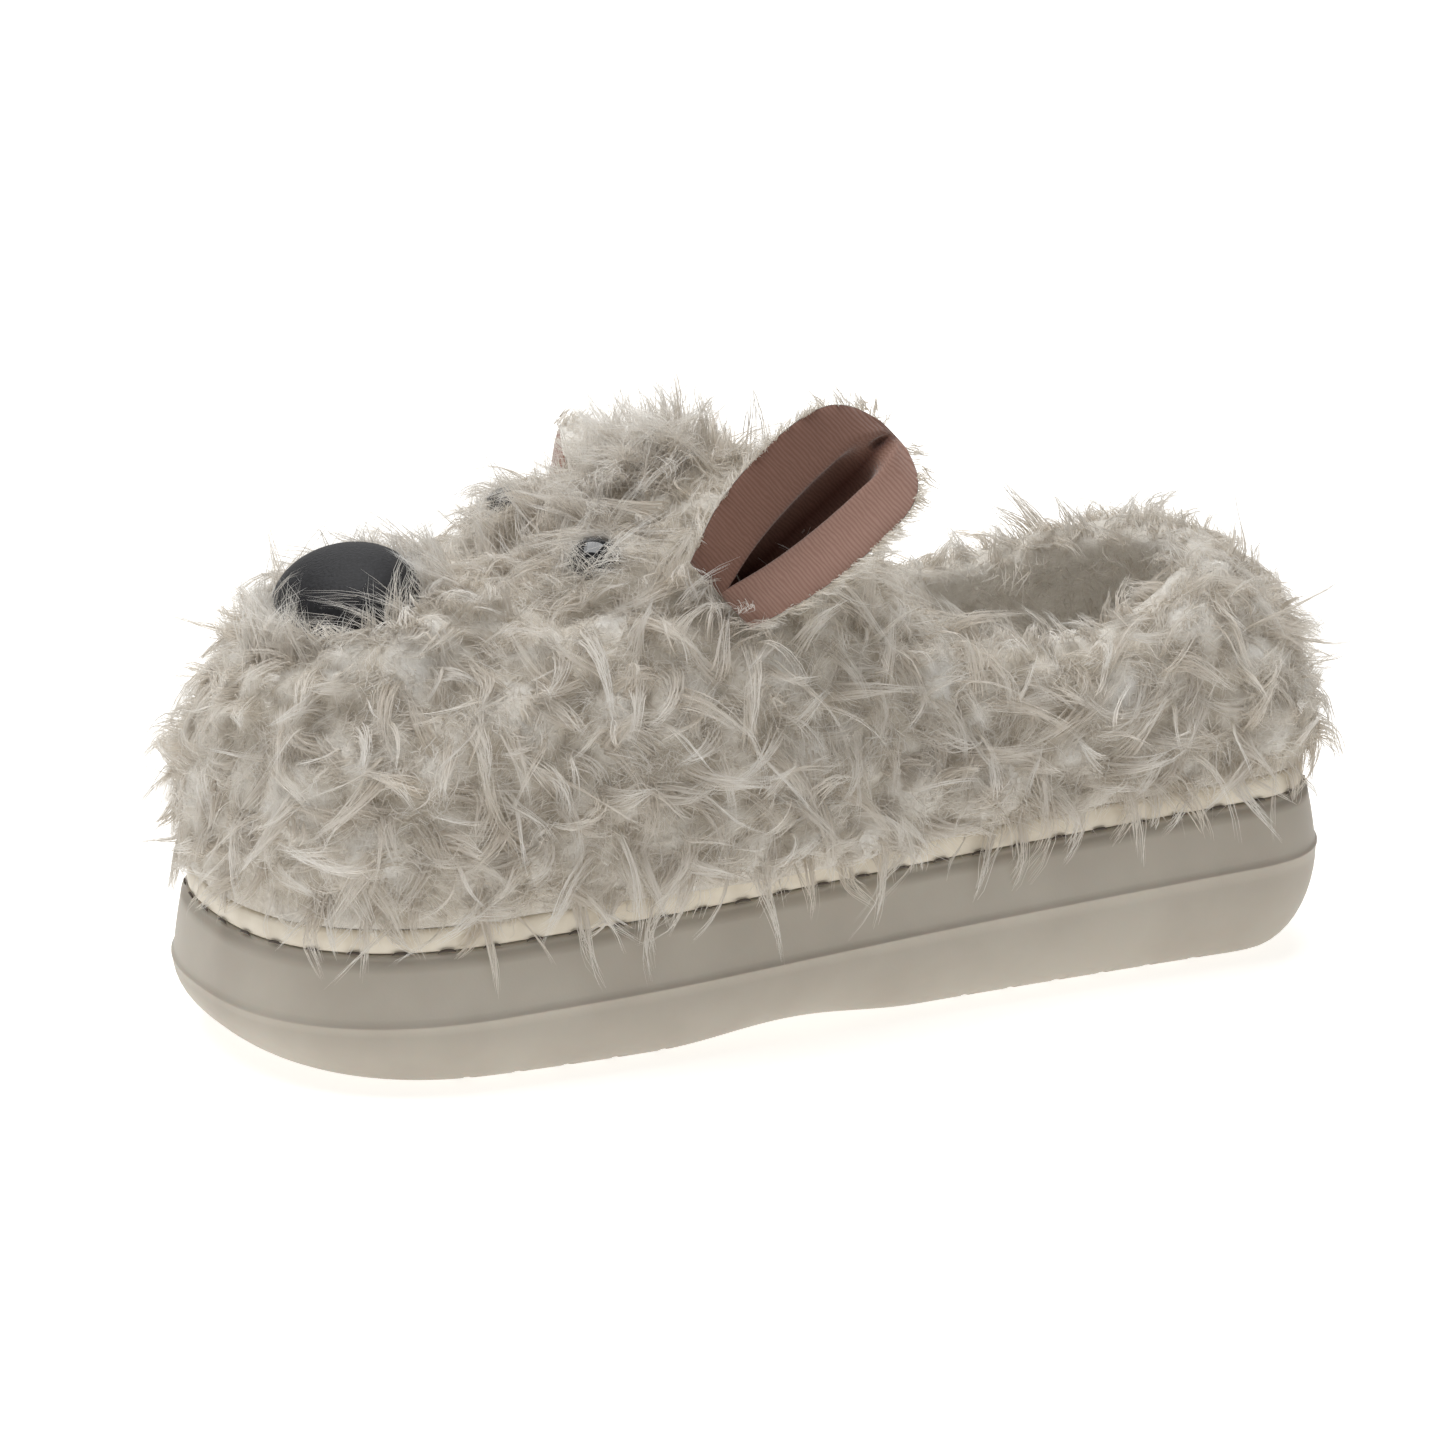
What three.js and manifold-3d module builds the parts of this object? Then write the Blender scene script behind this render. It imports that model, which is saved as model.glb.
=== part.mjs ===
import * as THREE from "three";
import { mergeVertices } from "three/addons/utils/BufferGeometryUtils.js";
import Module from "manifold-3d";

// A closed-back plush slipper with an animal's face, on a thick moulded platform sole. It is a left
// slipper: the toe points to -Y, the wearer's outer side to +X, and +Z is up. Millimetres. Places
// are given round the middle of the sole, and at the end the origin moves under the heel.

// Sole, moulded in one piece, with the parting line of its mould round the middle of its side
const soleLength = 270;
const ballWidth = 113;
const toeRoundLength = 54;
const toeRoundPower = 2.4;
const heelRoundLength = 30;
const heelRoundPower = 2.9;
const partingHeightToe = 16.4;
const partingHeightHeel = 25.7;
const rimHeightToe = 32.4;
const rimHeightHeel = 40.2;
const rimInset = 3;
const rimEdge = 1;
const sideSwell = 0.45;
const sideSwellAt = 0.55;
const rollUnder = 17;
const ridgeWidth = 1.4;
const ridgeProud = 0.5;
const toeSpring = 3;
const archRise = 2.4;
const trayDepth = 5;
const trayGap = 1.3;
const grooveDepth = 1.6;
const grooveWidth = 3;
const groovePitch = 12;

// Welt, the smooth strip that is sewn to the sole's rim round the foot of the upper
const weltHeight = 5.2;
const weltThickness = 2.2;
const weltSwell = 0.3;
const weltLean = 0.5;

// Upper: lining, foam and backing make the wall, and dense underfur covers it outside
const wall = 7;
const underfur = 5;
const underfurFullAt = 0.14;
const collarThinsAt = 0.86;
const collarThinning = 0.55;
const crestFullness = 1.15;
const skinInset = 4.2;
const collarLength = 100;
const collarWidth = 68;
const heelToCollar = 23;
const throatHeight = 98;
const sideHeight = 77;
const heelHeight = 88;
const heelCrestPower = 2.4;
const throatCrestPower = 5;
const foreheadRise = 22;
const foreheadSpread = 25;
const foreheadToCollar = 26;
const browToForehead = 44;
const browDip = 5;
const browDipSpread = 15;
const stuffingNarrowing = 0.8;

// Rise of the wall in front, over the toes, and at the sides and heel: the angle that its line
// sweeps, and the power of its curve, which grows fuller as it rises
const toeSweep = 90;
const sideSweep = 60;
const toeFullness = 3.3;
const sideFullness = 2.5;
const sweepEasing = 1.6;
const toeRiseStarts = 0.5;
const toeRiseEnds = 0.96;

// Locks of the fur
const lockSpacing = 11.6;
const lockRadius = 6.4;
const lockLength = 18.5;
const lockVariation = 0.4;
const lockLean = 66;
const lockStray = 1.2;
const noseClearOfLocks = 3;
const eyeClearOfLocks = 6;
const lowestLock = 0;
const highestLock = 8;
const lockStride = 197;
const forwardFlow = 0.35;

// Face: the nose by its distance from the toe, eyes and ears by theirs from the forehead, and the
// way each ear leans
const noseWidth = 40;
const noseLength = 34;
const noseThickness = 25;
const noseProud = 16.5;
const noseToToe = 38;
const eyeDiameter = 13;
const eyeProud = 8;
const eyeToForehead = 33;
const eyeApart = 46;
const earLength = 55;
const earWidth = 28;
const earDepth = 17;
const earLiningThickness = 6.5;
const earBackThickness = 3.2;
const earApart = 80;
const earToForehead = 10;
const earFootAboveThroat = 6;
const earLeanLeft = new THREE.Vector3(9, 33, 31);
const earLeanRight = new THREE.Vector3(-36, 31, -14);
const earFacing = new THREE.Vector3(0.8, -0.5, 0.3);

// Insole pad
const insoleThickness = 7.5;

const clearance = 0.3;
const aroundSteps = 60;
const outerSteps = 10;
const innerSteps = 5;

// Half widths of the sole along its length, as shares of the ball width
const OUTLINE = [
  { at: 0.0, outer: 0.472, inner: 0.487 },
  { at: 0.15, outer: 0.484, inner: 0.498 },
  { at: 0.33, outer: 0.491, inner: 0.509 },
  { at: 0.5, outer: 0.462, inner: 0.466 },
  { at: 0.63, outer: 0.441, inner: 0.434 },
  { at: 0.83, outer: 0.425, inner: 0.416 },
  { at: 1.0, outer: 0.42, inner: 0.412 },
];

// A lock's rings on the way to its tip, as shares of its length and of its radius
const LOCK = [
  { at: 0.3, wide: 1.0 },
  { at: 0.68, wide: 0.62 },
];

// Stretches of the bottom, as shares of the length from the toe
const springEnds = 0.22;
const archStarts = 0.34;
const archEnds = 0.6;
const TREAD = [
  { from: 0.17, to: 0.35 },
  { from: 0.64, to: 0.88 },
];

const wasm = await Module();
wasm.setup();

// Curve helpers

function smoothstep(low, high, value) {
  const share = THREE.MathUtils.clamp((value - low) / (high - low), 0, 1);
  return share * share * (3 - 2 * share);
}

// A table's column at a place between its rows, with no corner at a row
function tableAt(rows, column, at) {
  const last = rows.length - 1;
  const above = rows.findIndex((row) => row.at > at);
  const k = above < 0 ? last - 1 : Math.max(above - 1, 0);
  const [a, b] = [rows[k], rows[k + 1]];
  const slope = (p, q) => (rows[q][column] - rows[p][column]) / (rows[q].at - rows[p].at);
  const span = b.at - a.at;
  const s = (at - a.at) / span;
  const startSlope = slope(Math.max(k - 1, 0), k + 1) * span;
  const endSlope = slope(k, Math.min(k + 2, last)) * span;
  return (
    a[column] * (2 * s ** 3 - 3 * s ** 2 + 1) +
    b[column] * (3 * s ** 2 - 2 * s ** 3) +
    startSlope * (s ** 3 - 2 * s ** 2 + s) +
    endSlope * (s ** 3 - s ** 2)
  );
}

function roundedEnd(share, power) {
  return share >= 1 ? 1 : (1 - (1 - share) ** power) ** (1 / power);
}

// A repeatable number from 0 to 1
function scatter(n) {
  const s = Math.sin(n * 12.9898) * 43758.5453;
  return s - Math.floor(s);
}

// Plan of the sole

const shareAlong = (y) => THREE.MathUtils.clamp(y / soleLength + 0.5, 0, 1);
const rimZ = (y) => THREE.MathUtils.lerp(rimHeightToe, rimHeightHeel, shareAlong(y));
const partingZ = (y) => THREE.MathUtils.lerp(partingHeightToe, partingHeightHeel, shareAlong(y));

function groundZ(y) {
  const t = shareAlong(y);
  const spring = toeSpring * Math.max(0, 1 - t / springEnds) ** 2;
  const inArch = THREE.MathUtils.clamp((t - archStarts) / (archEnds - archStarts), 0, 1);
  return spring + archRise * Math.sin(Math.PI * inArch) ** 2;
}

// The widest outline of the sole, from the toe tip round the outer side to the heel and back
function soleOutline() {
  const dense = 720;
  const points = [];
  for (let k = 0; k < dense; k++) {
    const turn = k / dense;
    const along = (1 - Math.cos(2 * Math.PI * turn)) / 2;
    const side = turn < 0.5 ? "outer" : "inner";
    const ends =
      roundedEnd((along * soleLength) / toeRoundLength, toeRoundPower) *
      roundedEnd(((1 - along) * soleLength) / heelRoundLength, heelRoundPower);
    const half = ballWidth * tableAt(OUTLINE, side, along) * ends;
    points.push(new THREE.Vector3(side === "outer" ? half : -half, (along - 0.5) * soleLength, 0));
  }
  const curve = new THREE.CatmullRomCurve3(points, true);
  curve.arcLengthDivisions = dense * 2;
  return curve.getSpacedPoints(aroundSteps).slice(0, aroundSteps);
}

const outline = soleOutline();
const outward = outline.map((_, i) => {
  const next = outline[(i + 1) % aroundSteps];
  const before = outline[(i + aroundSteps - 1) % aroundSteps];
  return new THREE.Vector3(next.y - before.y, before.x - next.x, 0).normalize();
});

// A ring of points that runs a distance inside the outline, at a height that follows the length
function ring(inset, height) {
  return outline.map((p, i) => {
    const q = p.clone().addScaledVector(outward[i], -inset);
    q.z = height(q.y);
    return q;
  });
}

// Solids from rings of points

function solidFrom(geometry) {
  geometry.deleteAttribute("normal");
  geometry.deleteAttribute("uv");
  const merged = mergeVertices(geometry, 1e-4);
  return new wasm.Manifold(
    new wasm.Mesh({
      numProp: 3,
      vertProperties: new Float32Array(merged.attributes.position.array),
      triVerts: new Uint32Array(merged.index.array),
    }),
  );
}

// Joins closed rings in order. The skin closes on itself, or ends in a strip of faces across the
// first and the last ring. A cell of the skin may carry a lock, made of smaller rings and a tip.
function skinOf(rings, closes, lockOn = () => null) {
  const n = rings[0].length;
  const points = rings.flat();
  const index = [];
  const bands = closes ? rings.length : rings.length - 1;
  for (let r = 0; r < bands; r++) {
    const [low, high] = [r * n, ((r + 1) % rings.length) * n];
    for (let i = 0; i < n; i++) {
      const j = (i + 1) % n;
      const cell = [low + i, low + j, high + j, high + i];
      const lock = lockOn(r, i);
      if (lock) growLock(points, index, cell, lock);
      else index.push(cell[0], cell[1], cell[2], cell[0], cell[2], cell[3]);
    }
  }
  if (!closes) {
    capAcross(index, 0, n, false);
    capAcross(index, (rings.length - 1) * n, n, true);
  }
  const geometry = new THREE.BufferGeometry().setFromPoints(points);
  geometry.setIndex(index);
  return solidFrom(geometry);
}

function growLock(points, index, cell, { rings, tip }) {
  let base = cell;
  for (const corners of rings) {
    const next = corners.map((p) => points.push(p) - 1);
    for (let e = 0; e < 4; e++) {
      const f = (e + 1) % 4;
      index.push(base[e], base[f], next[f], base[e], next[f], next[e]);
    }
    base = next;
  }
  const end = points.push(tip) - 1;
  for (let e = 0; e < 4; e++) index.push(base[e], base[(e + 1) % 4], end);
}

function capAcross(index, start, n, facesUp) {
  const face = (a, b, c) => index.push(...(facesUp ? [a, b, c] : [a, c, b]).map((k) => start + k));
  for (let i = 0, j = n - 1; i + 1 < j; i++, j--) {
    face(i, i + 1, j - 1);
    face(i, j - 1, j);
  }
}

function meshOf(name, solid, material) {
  const made = solid.getMesh();
  const geometry = new THREE.BufferGeometry();
  geometry.setAttribute("position", new THREE.BufferAttribute(made.vertProperties, 3));
  geometry.setIndex(new THREE.BufferAttribute(made.triVerts, 1));
  geometry.computeVertexNormals();
  const mesh = new THREE.Mesh(geometry, material);
  mesh.name = name;
  return mesh;
}

// Sole

const [, heelTread] = TREAD;
const heelSeatY = (heelTread.from - 0.5) * soleLength + groovePitch * 2.5;
const trayInset = skinInset + wall + trayGap;

function treadGroove(y) {
  const box = new THREE.BoxGeometry(ballWidth * 2, grooveWidth, grooveDepth * 2);
  return solidFrom(box.translate(0, y, 0));
}

function makeSole() {
  const rings = [];
  for (const turn of [90, 66, 44, 22, 0]) {
    const a = THREE.MathUtils.degToRad(turn);
    const top = (y) => partingZ(y) - ridgeWidth / 2;
    const height = (y) => THREE.MathUtils.lerp(top(y), groundZ(y), Math.sin(a));
    rings.push(ring(rollUnder * (1 - Math.cos(a)), height));
  }
  rings.push(ring(-ridgeProud, partingZ));
  rings.push(ring(0, (y) => partingZ(y) + ridgeWidth / 2));
  const swellZ = (y) => THREE.MathUtils.lerp(partingZ(y), rimZ(y), sideSwellAt);
  rings.push(ring(rimInset * sideSwell, swellZ));
  rings.push(ring(rimInset, (y) => rimZ(y) - rimEdge));
  rings.push(ring(rimInset + rimEdge, rimZ));
  rings.push(ring(trayInset, rimZ));
  rings.push(ring(trayInset + rimEdge, (y) => rimZ(y) - trayDepth));
  const grooves = [];
  for (const { from, to } of TREAD) {
    const [start, end] = [from, to].map((share) => (share - 0.5) * soleLength);
    for (let y = start; y <= end; y += groovePitch) grooves.push(treadGroove(y));
  }
  return skinOf(rings, false).subtract(wasm.Manifold.union(grooves));
}

// Welt

const weltInset = rimInset + rimEdge * 0.6;
const weltInner = weltInset + weltThickness;

function makeWelt() {
  const foot = (y) => rimZ(y) + clearance;
  const head = (y) => foot(y) + weltHeight;
  return skinOf(
    [
      ring(weltInner, foot),
      ring(weltInset, foot),
      ring(weltInset - weltSwell, (y) => foot(y) + weltHeight / 2),
      ring(weltInset + weltLean, head),
      ring(weltInner, head),
    ],
    true,
  );
}

// Upper

const collarCentre = new THREE.Vector2(0, soleLength / 2 - heelToCollar - collarLength / 2);
const footInset = skinInset + wall / 2;
const footZ = (y) => rimZ(y) + clearance + weltHeight + clearance * 2;

// The crest of the collar, in a direction from its centre: 0 to the heel and half a turn to the toe
function collarCrest(direction) {
  const [a, b] = [collarLength / 2, collarWidth / 2];
  const reach = (a * b) / Math.hypot(b * Math.cos(direction), a * Math.sin(direction));
  const back = Math.max(0, Math.cos(direction)) ** heelCrestPower;
  const front = Math.max(0, -Math.cos(direction)) ** throatCrestPower;
  return new THREE.Vector3(
    collarCentre.x + reach * Math.sin(direction),
    collarCentre.y + reach * Math.cos(direction),
    sideHeight + (heelHeight - sideHeight) * back + (throatHeight - sideHeight) * front,
  );
}

// The middle of the wall from its foot on the sole to the collar's crest. Over the toes it is a
// full dome, and at the sides and heel it still leans upwards where it ends.
function wallLine(i) {
  const foot = outline[i].clone().addScaledVector(outward[i], -footInset);
  foot.z = footZ(foot.y);
  const direction = Math.atan2(foot.x - collarCentre.x, foot.y - collarCentre.y);
  const crest = collarCrest(direction);
  const overToes = smoothstep(toeRiseStarts, toeRiseEnds, (1 - Math.cos(direction)) / 2);
  const power = 2 / THREE.MathUtils.lerp(sideFullness, toeFullness, overToes);
  const sweep = THREE.MathUtils.degToRad(THREE.MathUtils.lerp(sideSweep, toeSweep, overToes));
  const dense = 90;
  const points = [];
  for (let k = 0; k <= dense; k++) {
    const turn = sweep * (k / dense) ** sweepEasing;
    const inShare = (1 - Math.cos(turn) ** power) / (1 - Math.cos(sweep) ** power);
    const upShare = Math.sin(turn) ** power / Math.sin(sweep) ** power;
    const p = foot.clone().lerp(crest, inShare);
    p.z = THREE.MathUtils.lerp(foot.z, crest.z, upShare);
    points.push(p);
  }
  const curve = new THREE.CatmullRomCurve3(points);
  curve.arcLengthDivisions = dense * 2;
  return curve.getSpacedPoints(outerSteps);
}

const wallGrid = outline.map((_, i) => wallLine(i));

function gridNormal(grid, i, k) {
  const n = grid.length;
  const last = grid[0].length - 1;
  const along = grid[(i + 1) % n][k].clone().sub(grid[(i + n - 1) % n][k]);
  const up = grid[i][Math.min(k + 1, last)].clone().sub(grid[i][Math.max(k - 1, 0)]);
  return along.cross(up).normalize();
}

const wallNormals = wallGrid.map((line, i) => line.map((_, k) => gridNormal(wallGrid, i, k)));

const foreheadY = collarCentre.y - collarLength / 2 - foreheadToCollar;
const browY = foreheadY - browToForehead;

// Stuffing of the head over the wall: the forehead stands up, with a dip before it at the eyes
function stuffing(p) {
  const swell = (y, spread, rise) =>
    rise * Math.exp(-(p.x ** 2 * stuffingNarrowing + (p.y - y) ** 2) / (2 * spread ** 2));
  return swell(foreheadY, foreheadSpread, foreheadRise) - swell(browY, browDipSpread, browDip);
}

// The underfur starts above the welt and thins over the collar
function furDepth(k) {
  const up = k / outerSteps;
  const thinned = collarThinning * smoothstep(collarThinsAt, 1, up);
  return underfur * smoothstep(-0.04, underfurFullAt, up) * (1 - thinned);
}

function outerPoint(i, k) {
  const p = wallGrid[i][k];
  return p.clone().addScaledVector(wallNormals[i][k], wall / 2 + furDepth(k) + stuffing(p));
}

function innerPoint(i, k) {
  return wallGrid[i][k].clone().addScaledVector(wallNormals[i][k], -wall / 2);
}

// The wall turns over at the collar in a half round
function crestPoint(i, turn) {
  const crest = wallGrid[i][outerSteps];
  const normal = wallNormals[i][outerSteps];
  const onward = crest.clone().sub(wallGrid[i][outerSteps - 1]).normalize();
  const out = wall / 2 + (furDepth(outerSteps) + stuffing(crest)) * Math.max(0, Math.cos(turn));
  return crest
    .clone()
    .addScaledVector(normal, out * Math.cos(turn))
    .addScaledVector(onward, (wall / 2) * crestFullness * Math.sin(turn));
}

const outerRing = 3;

function upperShell(lockOn) {
  const column = (make) => outline.map((_, i) => make(i));
  const behindWelt = weltInner + clearance;
  const rings = [
    ring(skinInset + wall, (y) => rimZ(y) + clearance),
    ring(behindWelt, (y) => rimZ(y) + clearance),
    ring(behindWelt, (y) => footZ(y) - clearance),
  ];
  for (let k = 0; k <= outerSteps; k++) rings.push(column((i) => outerPoint(i, k)));
  for (const turn of [40, 90, 140]) {
    rings.push(column((i) => crestPoint(i, THREE.MathUtils.degToRad(turn))));
  }
  for (let s = innerSteps; s >= 0; s--) {
    rings.push(column((i) => innerPoint(i, Math.round((s / innerSteps) * outerSteps))));
  }
  return skinOf(rings, true, (r, i) => lockOn(i, r - outerRing));
}

const outerGrid = outline.map((_, i) => wallGrid[i].map((__, k) => outerPoint(i, k)));
const outerNormals = outerGrid.map((line, i) => line.map((_, k) => gridNormal(outerGrid, i, k)));

// A place on the outside of the upper: a share of the way round from the toe tip, and a share up
function place(around, up) {
  const [u, v] = [around * aroundSteps, up * outerSteps];
  const [i, k] = [Math.floor(u), Math.min(Math.floor(v), outerSteps - 1)];
  const [here, next] = [i % aroundSteps, (i + 1) % aroundSteps];
  const blend = (grid) => {
    const low = grid[here][k].clone().lerp(grid[next][k], u - i);
    return low.lerp(grid[here][k + 1].clone().lerp(grid[next][k + 1], u - i), v - k);
  };
  return { point: blend(outerGrid), normal: blend(outerNormals).normalize() };
}

// The place on top of the upper that is nearest to x and y, seen from above
function topAt(x, y) {
  let best = null;
  for (let around = 0; around < 1; around += 1 / (aroundSteps * 4)) {
    for (let up = 0.3; up <= 1; up += 0.5 / outerSteps) {
      const found = place(around, up);
      const away = Math.hypot(found.point.x - x, found.point.y - y);
      if (!best || away < best.away) best = { ...found, away };
    }
  }
  return best;
}

// A frame whose z axis is a direction, with its y axis as near to another as it can be
function frameAt(origin, direction, towards) {
  const z = direction.clone().normalize();
  const x = towards.clone().cross(z).normalize();
  return new THREE.Matrix4().makeBasis(x, z.clone().cross(x), z).setPosition(origin);
}

const towardsHeel = new THREE.Vector3(0, 1, 0);

// A button's frame, sunk in the fur so that it stands proud of the underfur by a given height
function buttonFrame(seat, proud, thickness) {
  const centre = seat.point.clone().addScaledVector(seat.normal, proud - thickness / 2);
  return frameAt(centre, seat.normal, towardsHeel);
}

// Nose and eyes

const noseSeat = topAt(0, noseToToe - soleLength / 2);
const eyeY = foreheadY - eyeToForehead;
const eyeSeats = { left: topAt(eyeApart / 2, eyeY), right: topAt(-eyeApart / 2, eyeY) };

function noseForm(spare) {
  const dome = new THREE.SphereGeometry(0.5, 20, 12);
  const room = 2 * spare;
  dome.scale(noseWidth + room, noseLength + room, noseThickness + room);
  return solidFrom(dome.applyMatrix4(buttonFrame(noseSeat, noseProud, noseThickness)));
}

function eyeForm(seat, spare) {
  const ball = new THREE.SphereGeometry(eyeDiameter / 2 + spare, 12, 8);
  return solidFrom(ball.applyMatrix4(buttonFrame(seat, eyeProud, eyeDiameter)));
}

// Ears: leaves folded along their middle, with shares of the ear's width and of its depth

const EAR = [
  { at: 0.0, wide: 0.55, deep: 0.5 },
  { at: 0.25, wide: 0.86, deep: 0.9 },
  { at: 0.5, wide: 1.0, deep: 1.0 },
  { at: 0.75, wide: 0.98, deep: 0.85 },
  { at: 0.92, wide: 0.8, deep: 0.55 },
  { at: 1.0, wide: 0.42, deep: 0.25 },
];
const earStations = [0, 0.12, 0.28, 0.46, 0.64, 0.8, 0.92, 1];
const earAcross = 8;
const earWrap = THREE.MathUtils.degToRad(72);

function leaf(frame, spare, backLevel, frontLevel) {
  const across = Array.from({ length: earAcross + 1 }, (_, k) => -1 + (2 * k) / earAcross);
  const rings = earStations.map((at) => {
    const half = ((earWidth / 2) * tableAt(EAR, "wide", at)) / Math.sin(earWrap);
    const cup = (earDepth * tableAt(EAR, "deep", at)) / (1 - Math.cos(earWrap));
    const point = (v, level) => {
      const turn = earWrap * v;
      const normal = new THREE.Vector2(-cup * Math.sin(turn), half * Math.cos(turn)).normalize();
      const out = level(at, v);
      const [x, y] = [half * Math.sin(turn), cup * (1 - Math.cos(turn))];
      const z = at * (earLength + 2 * spare) - spare;
      return new THREE.Vector3(x + normal.x * out, y + normal.y * out, z);
    };
    const back = across.map((v) => point(v, backLevel));
    const front = across.map((v) => point(v, frontLevel)).reverse();
    return [...back, ...front].map((p) => p.applyMatrix4(frame));
  });
  return skinOf(rings, false);
}

function earFrame(side) {
  const foot = new THREE.Vector3(
    (side * earApart) / 2,
    foreheadY - earToForehead,
    throatHeight + earFootAboveThroat,
  );
  const facing = earFacing.clone().multiply(new THREE.Vector3(side, 1, 1));
  return frameAt(foot, side > 0 ? earLeanLeft : earLeanRight, facing);
}

const earBack = (side, spare) =>
  leaf(
    earFrame(side),
    spare,
    () => -earBackThickness - spare,
    () => spare,
  );

// The facing is padded: thin in the fold, with a full lip at both sides that rounds off at its edge
function liningDepth(v) {
  const lip = smoothstep(0.1, 0.6, Math.abs(v)) * (1 - 0.6 * smoothstep(0.75, 1, Math.abs(v)));
  return earLiningThickness * (0.3 + 0.7 * lip);
}

const earLining = (side, spare) =>
  leaf(
    earFrame(side),
    spare,
    () => clearance - spare,
    (_, v) => clearance + liningDepth(v) + spare,
  );

// Locks of fur: each grows from a cell of the skin, swells, and tapers as it bends over

// The fur falls to the sole and a little to the toe, and each lock strays from that to one side
function flowAt(normal, stray) {
  const fall = new THREE.Vector3(0, -forwardFlow, -1);
  const flow = fall.addScaledVector(normal, -fall.dot(normal)).normalize();
  return flow.applyAxisAngle(normal, stray);
}

function lockOver(corners, centre, normal, n) {
  const flow = flowAt(normal, (scatter(n) - 0.5) * lockStray);
  const length = lockLength * (1 + lockVariation * (scatter(n + 0.5) - 0.5));
  const lean = THREE.MathUtils.degToRad(lockLean);
  const spine = (share) =>
    centre
      .clone()
      .addScaledVector(normal, (length * Math.sin(lean * share)) / lean)
      .addScaledVector(flow, (length * (1 - Math.cos(lean * share))) / lean);
  const rings = LOCK.map(({ at, wide }) => {
    const bent = new THREE.Quaternion().setFromAxisAngle(normal.clone().cross(flow), lean * at);
    return corners.map((corner) => {
      const way = corner.clone().sub(centre).projectOnPlane(normal).setLength(lockRadius * wide);
      return way.applyQuaternion(bent).add(spine(at));
    });
  });
  return { rings, tip: spine(1) };
}

function furLocks() {
  const kept = [
    { at: noseSeat.point, room: noseWidth / 2 + noseClearOfLocks },
    { at: eyeSeats.left.point, room: eyeDiameter / 2 + eyeClearOfLocks },
    { at: eyeSeats.right.point, room: eyeDiameter / 2 + eyeClearOfLocks },
  ];
  for (const side of [1, -1]) {
    for (const share of [0.05, 0.35, 0.65, 0.95]) {
      const at = new THREE.Vector3(0, 0, earLength * share).applyMatrix4(earFrame(side));
      kept.push({ at, room: earWidth / 2 + lockRadius });
    }
  }
  const locks = new Map();
  const cells = aroundSteps * (highestLock - lowestLock + 1);
  for (let n = 0; n < cells; n++) {
    const cell = (n * lockStride) % cells;
    const [i, k] = [cell % aroundSteps, lowestLock + Math.floor(cell / aroundSteps)];
    const j = (i + 1) % aroundSteps;
    const corners = [outerGrid[i][k], outerGrid[j][k], outerGrid[j][k + 1], outerGrid[i][k + 1]];
    const [a, b, c, d] = corners;
    const centre = a.clone().add(b).add(c).add(d).multiplyScalar(0.25);
    if (kept.some(({ at, room }) => at.distanceTo(centre) < room)) continue;
    kept.push({ at: centre, room: lockSpacing });
    const normal = c.clone().sub(a).cross(d.clone().sub(b)).normalize();
    locks.set(`${i},${k}`, lockOver(corners, centre, normal, n));
  }
  return (i, k) => locks.get(`${i},${k}`);
}

function makeUpper() {
  const seated = [
    noseForm(clearance),
    eyeForm(eyeSeats.left, clearance),
    eyeForm(eyeSeats.right, clearance),
    ...[1, -1].flatMap((side) => [earBack(side, clearance), earLining(side, clearance)]),
  ];
  return upperShell(furLocks()).subtract(wasm.Manifold.union(seated));
}

// Insole

const insoleInset = trayInset + rimEdge + clearance;

function makeInsole() {
  const under = (y) => rimZ(y) - trayDepth + clearance;
  const edge = insoleThickness * 0.35;
  return skinOf(
    [
      ring(insoleInset + edge * 0.5, under),
      ring(insoleInset, (y) => under(y) + edge),
      ring(insoleInset, (y) => under(y) + insoleThickness - edge),
      ring(insoleInset + edge, (y) => under(y) + insoleThickness),
    ],
    false,
  );
}

// Materials

const finish = (color, roughness) => new THREE.MeshStandardMaterial({ color, roughness, metalness: 0 });
const moulded = finish("#b5ada2", 0.6);
const smooth = finish("#c9bfae", 0.5);
const fur = finish("#c8c0b4", 0.95);
const glossy = finish("#15151a", 0.12);
const velour = finish("#9a7b70", 0.85);
const pad = finish("#b8ad9f", 0.9);

const slipper = new THREE.Group();
slipper.add(
  meshOf("sole", makeSole(), moulded),
  meshOf("insole", makeInsole(), pad),
  meshOf("welt", makeWelt(), smooth),
  meshOf("upper", makeUpper(), fur),
  meshOf("nose", noseForm(0), glossy),
  meshOf("eye_left", eyeForm(eyeSeats.left, 0), glossy),
  meshOf("eye_right", eyeForm(eyeSeats.right, 0), glossy),
  meshOf("ear_left", earBack(1, 0), fur),
  meshOf("ear_right", earBack(-1, 0), fur),
  meshOf("ear_lining_left", earLining(1, 0), velour),
  meshOf("ear_lining_right", earLining(-1, 0), velour),
);

// The origin is on the ground under the middle of the heel, on a land of the tread
slipper.position.y = -heelSeatY;

export default slipper;
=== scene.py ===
# %% [markdown]
# A left plush slipper with an animal's face: a moulded foam platform, a smooth welt strip, a
# lasted upper in long curly fur, and a nose, two eyes and two ears sewn on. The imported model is
# loaded first, and every piece below is made in its frame, in metres: the toe points to -Y, the
# wearer's outer side to +X, and the origin is on the ground under the heel.

# %% Start
import math
import bpy
import bmesh
import numpy as np
from mathutils import Matrix, Vector, noise
from numpy.linalg import norm


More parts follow.
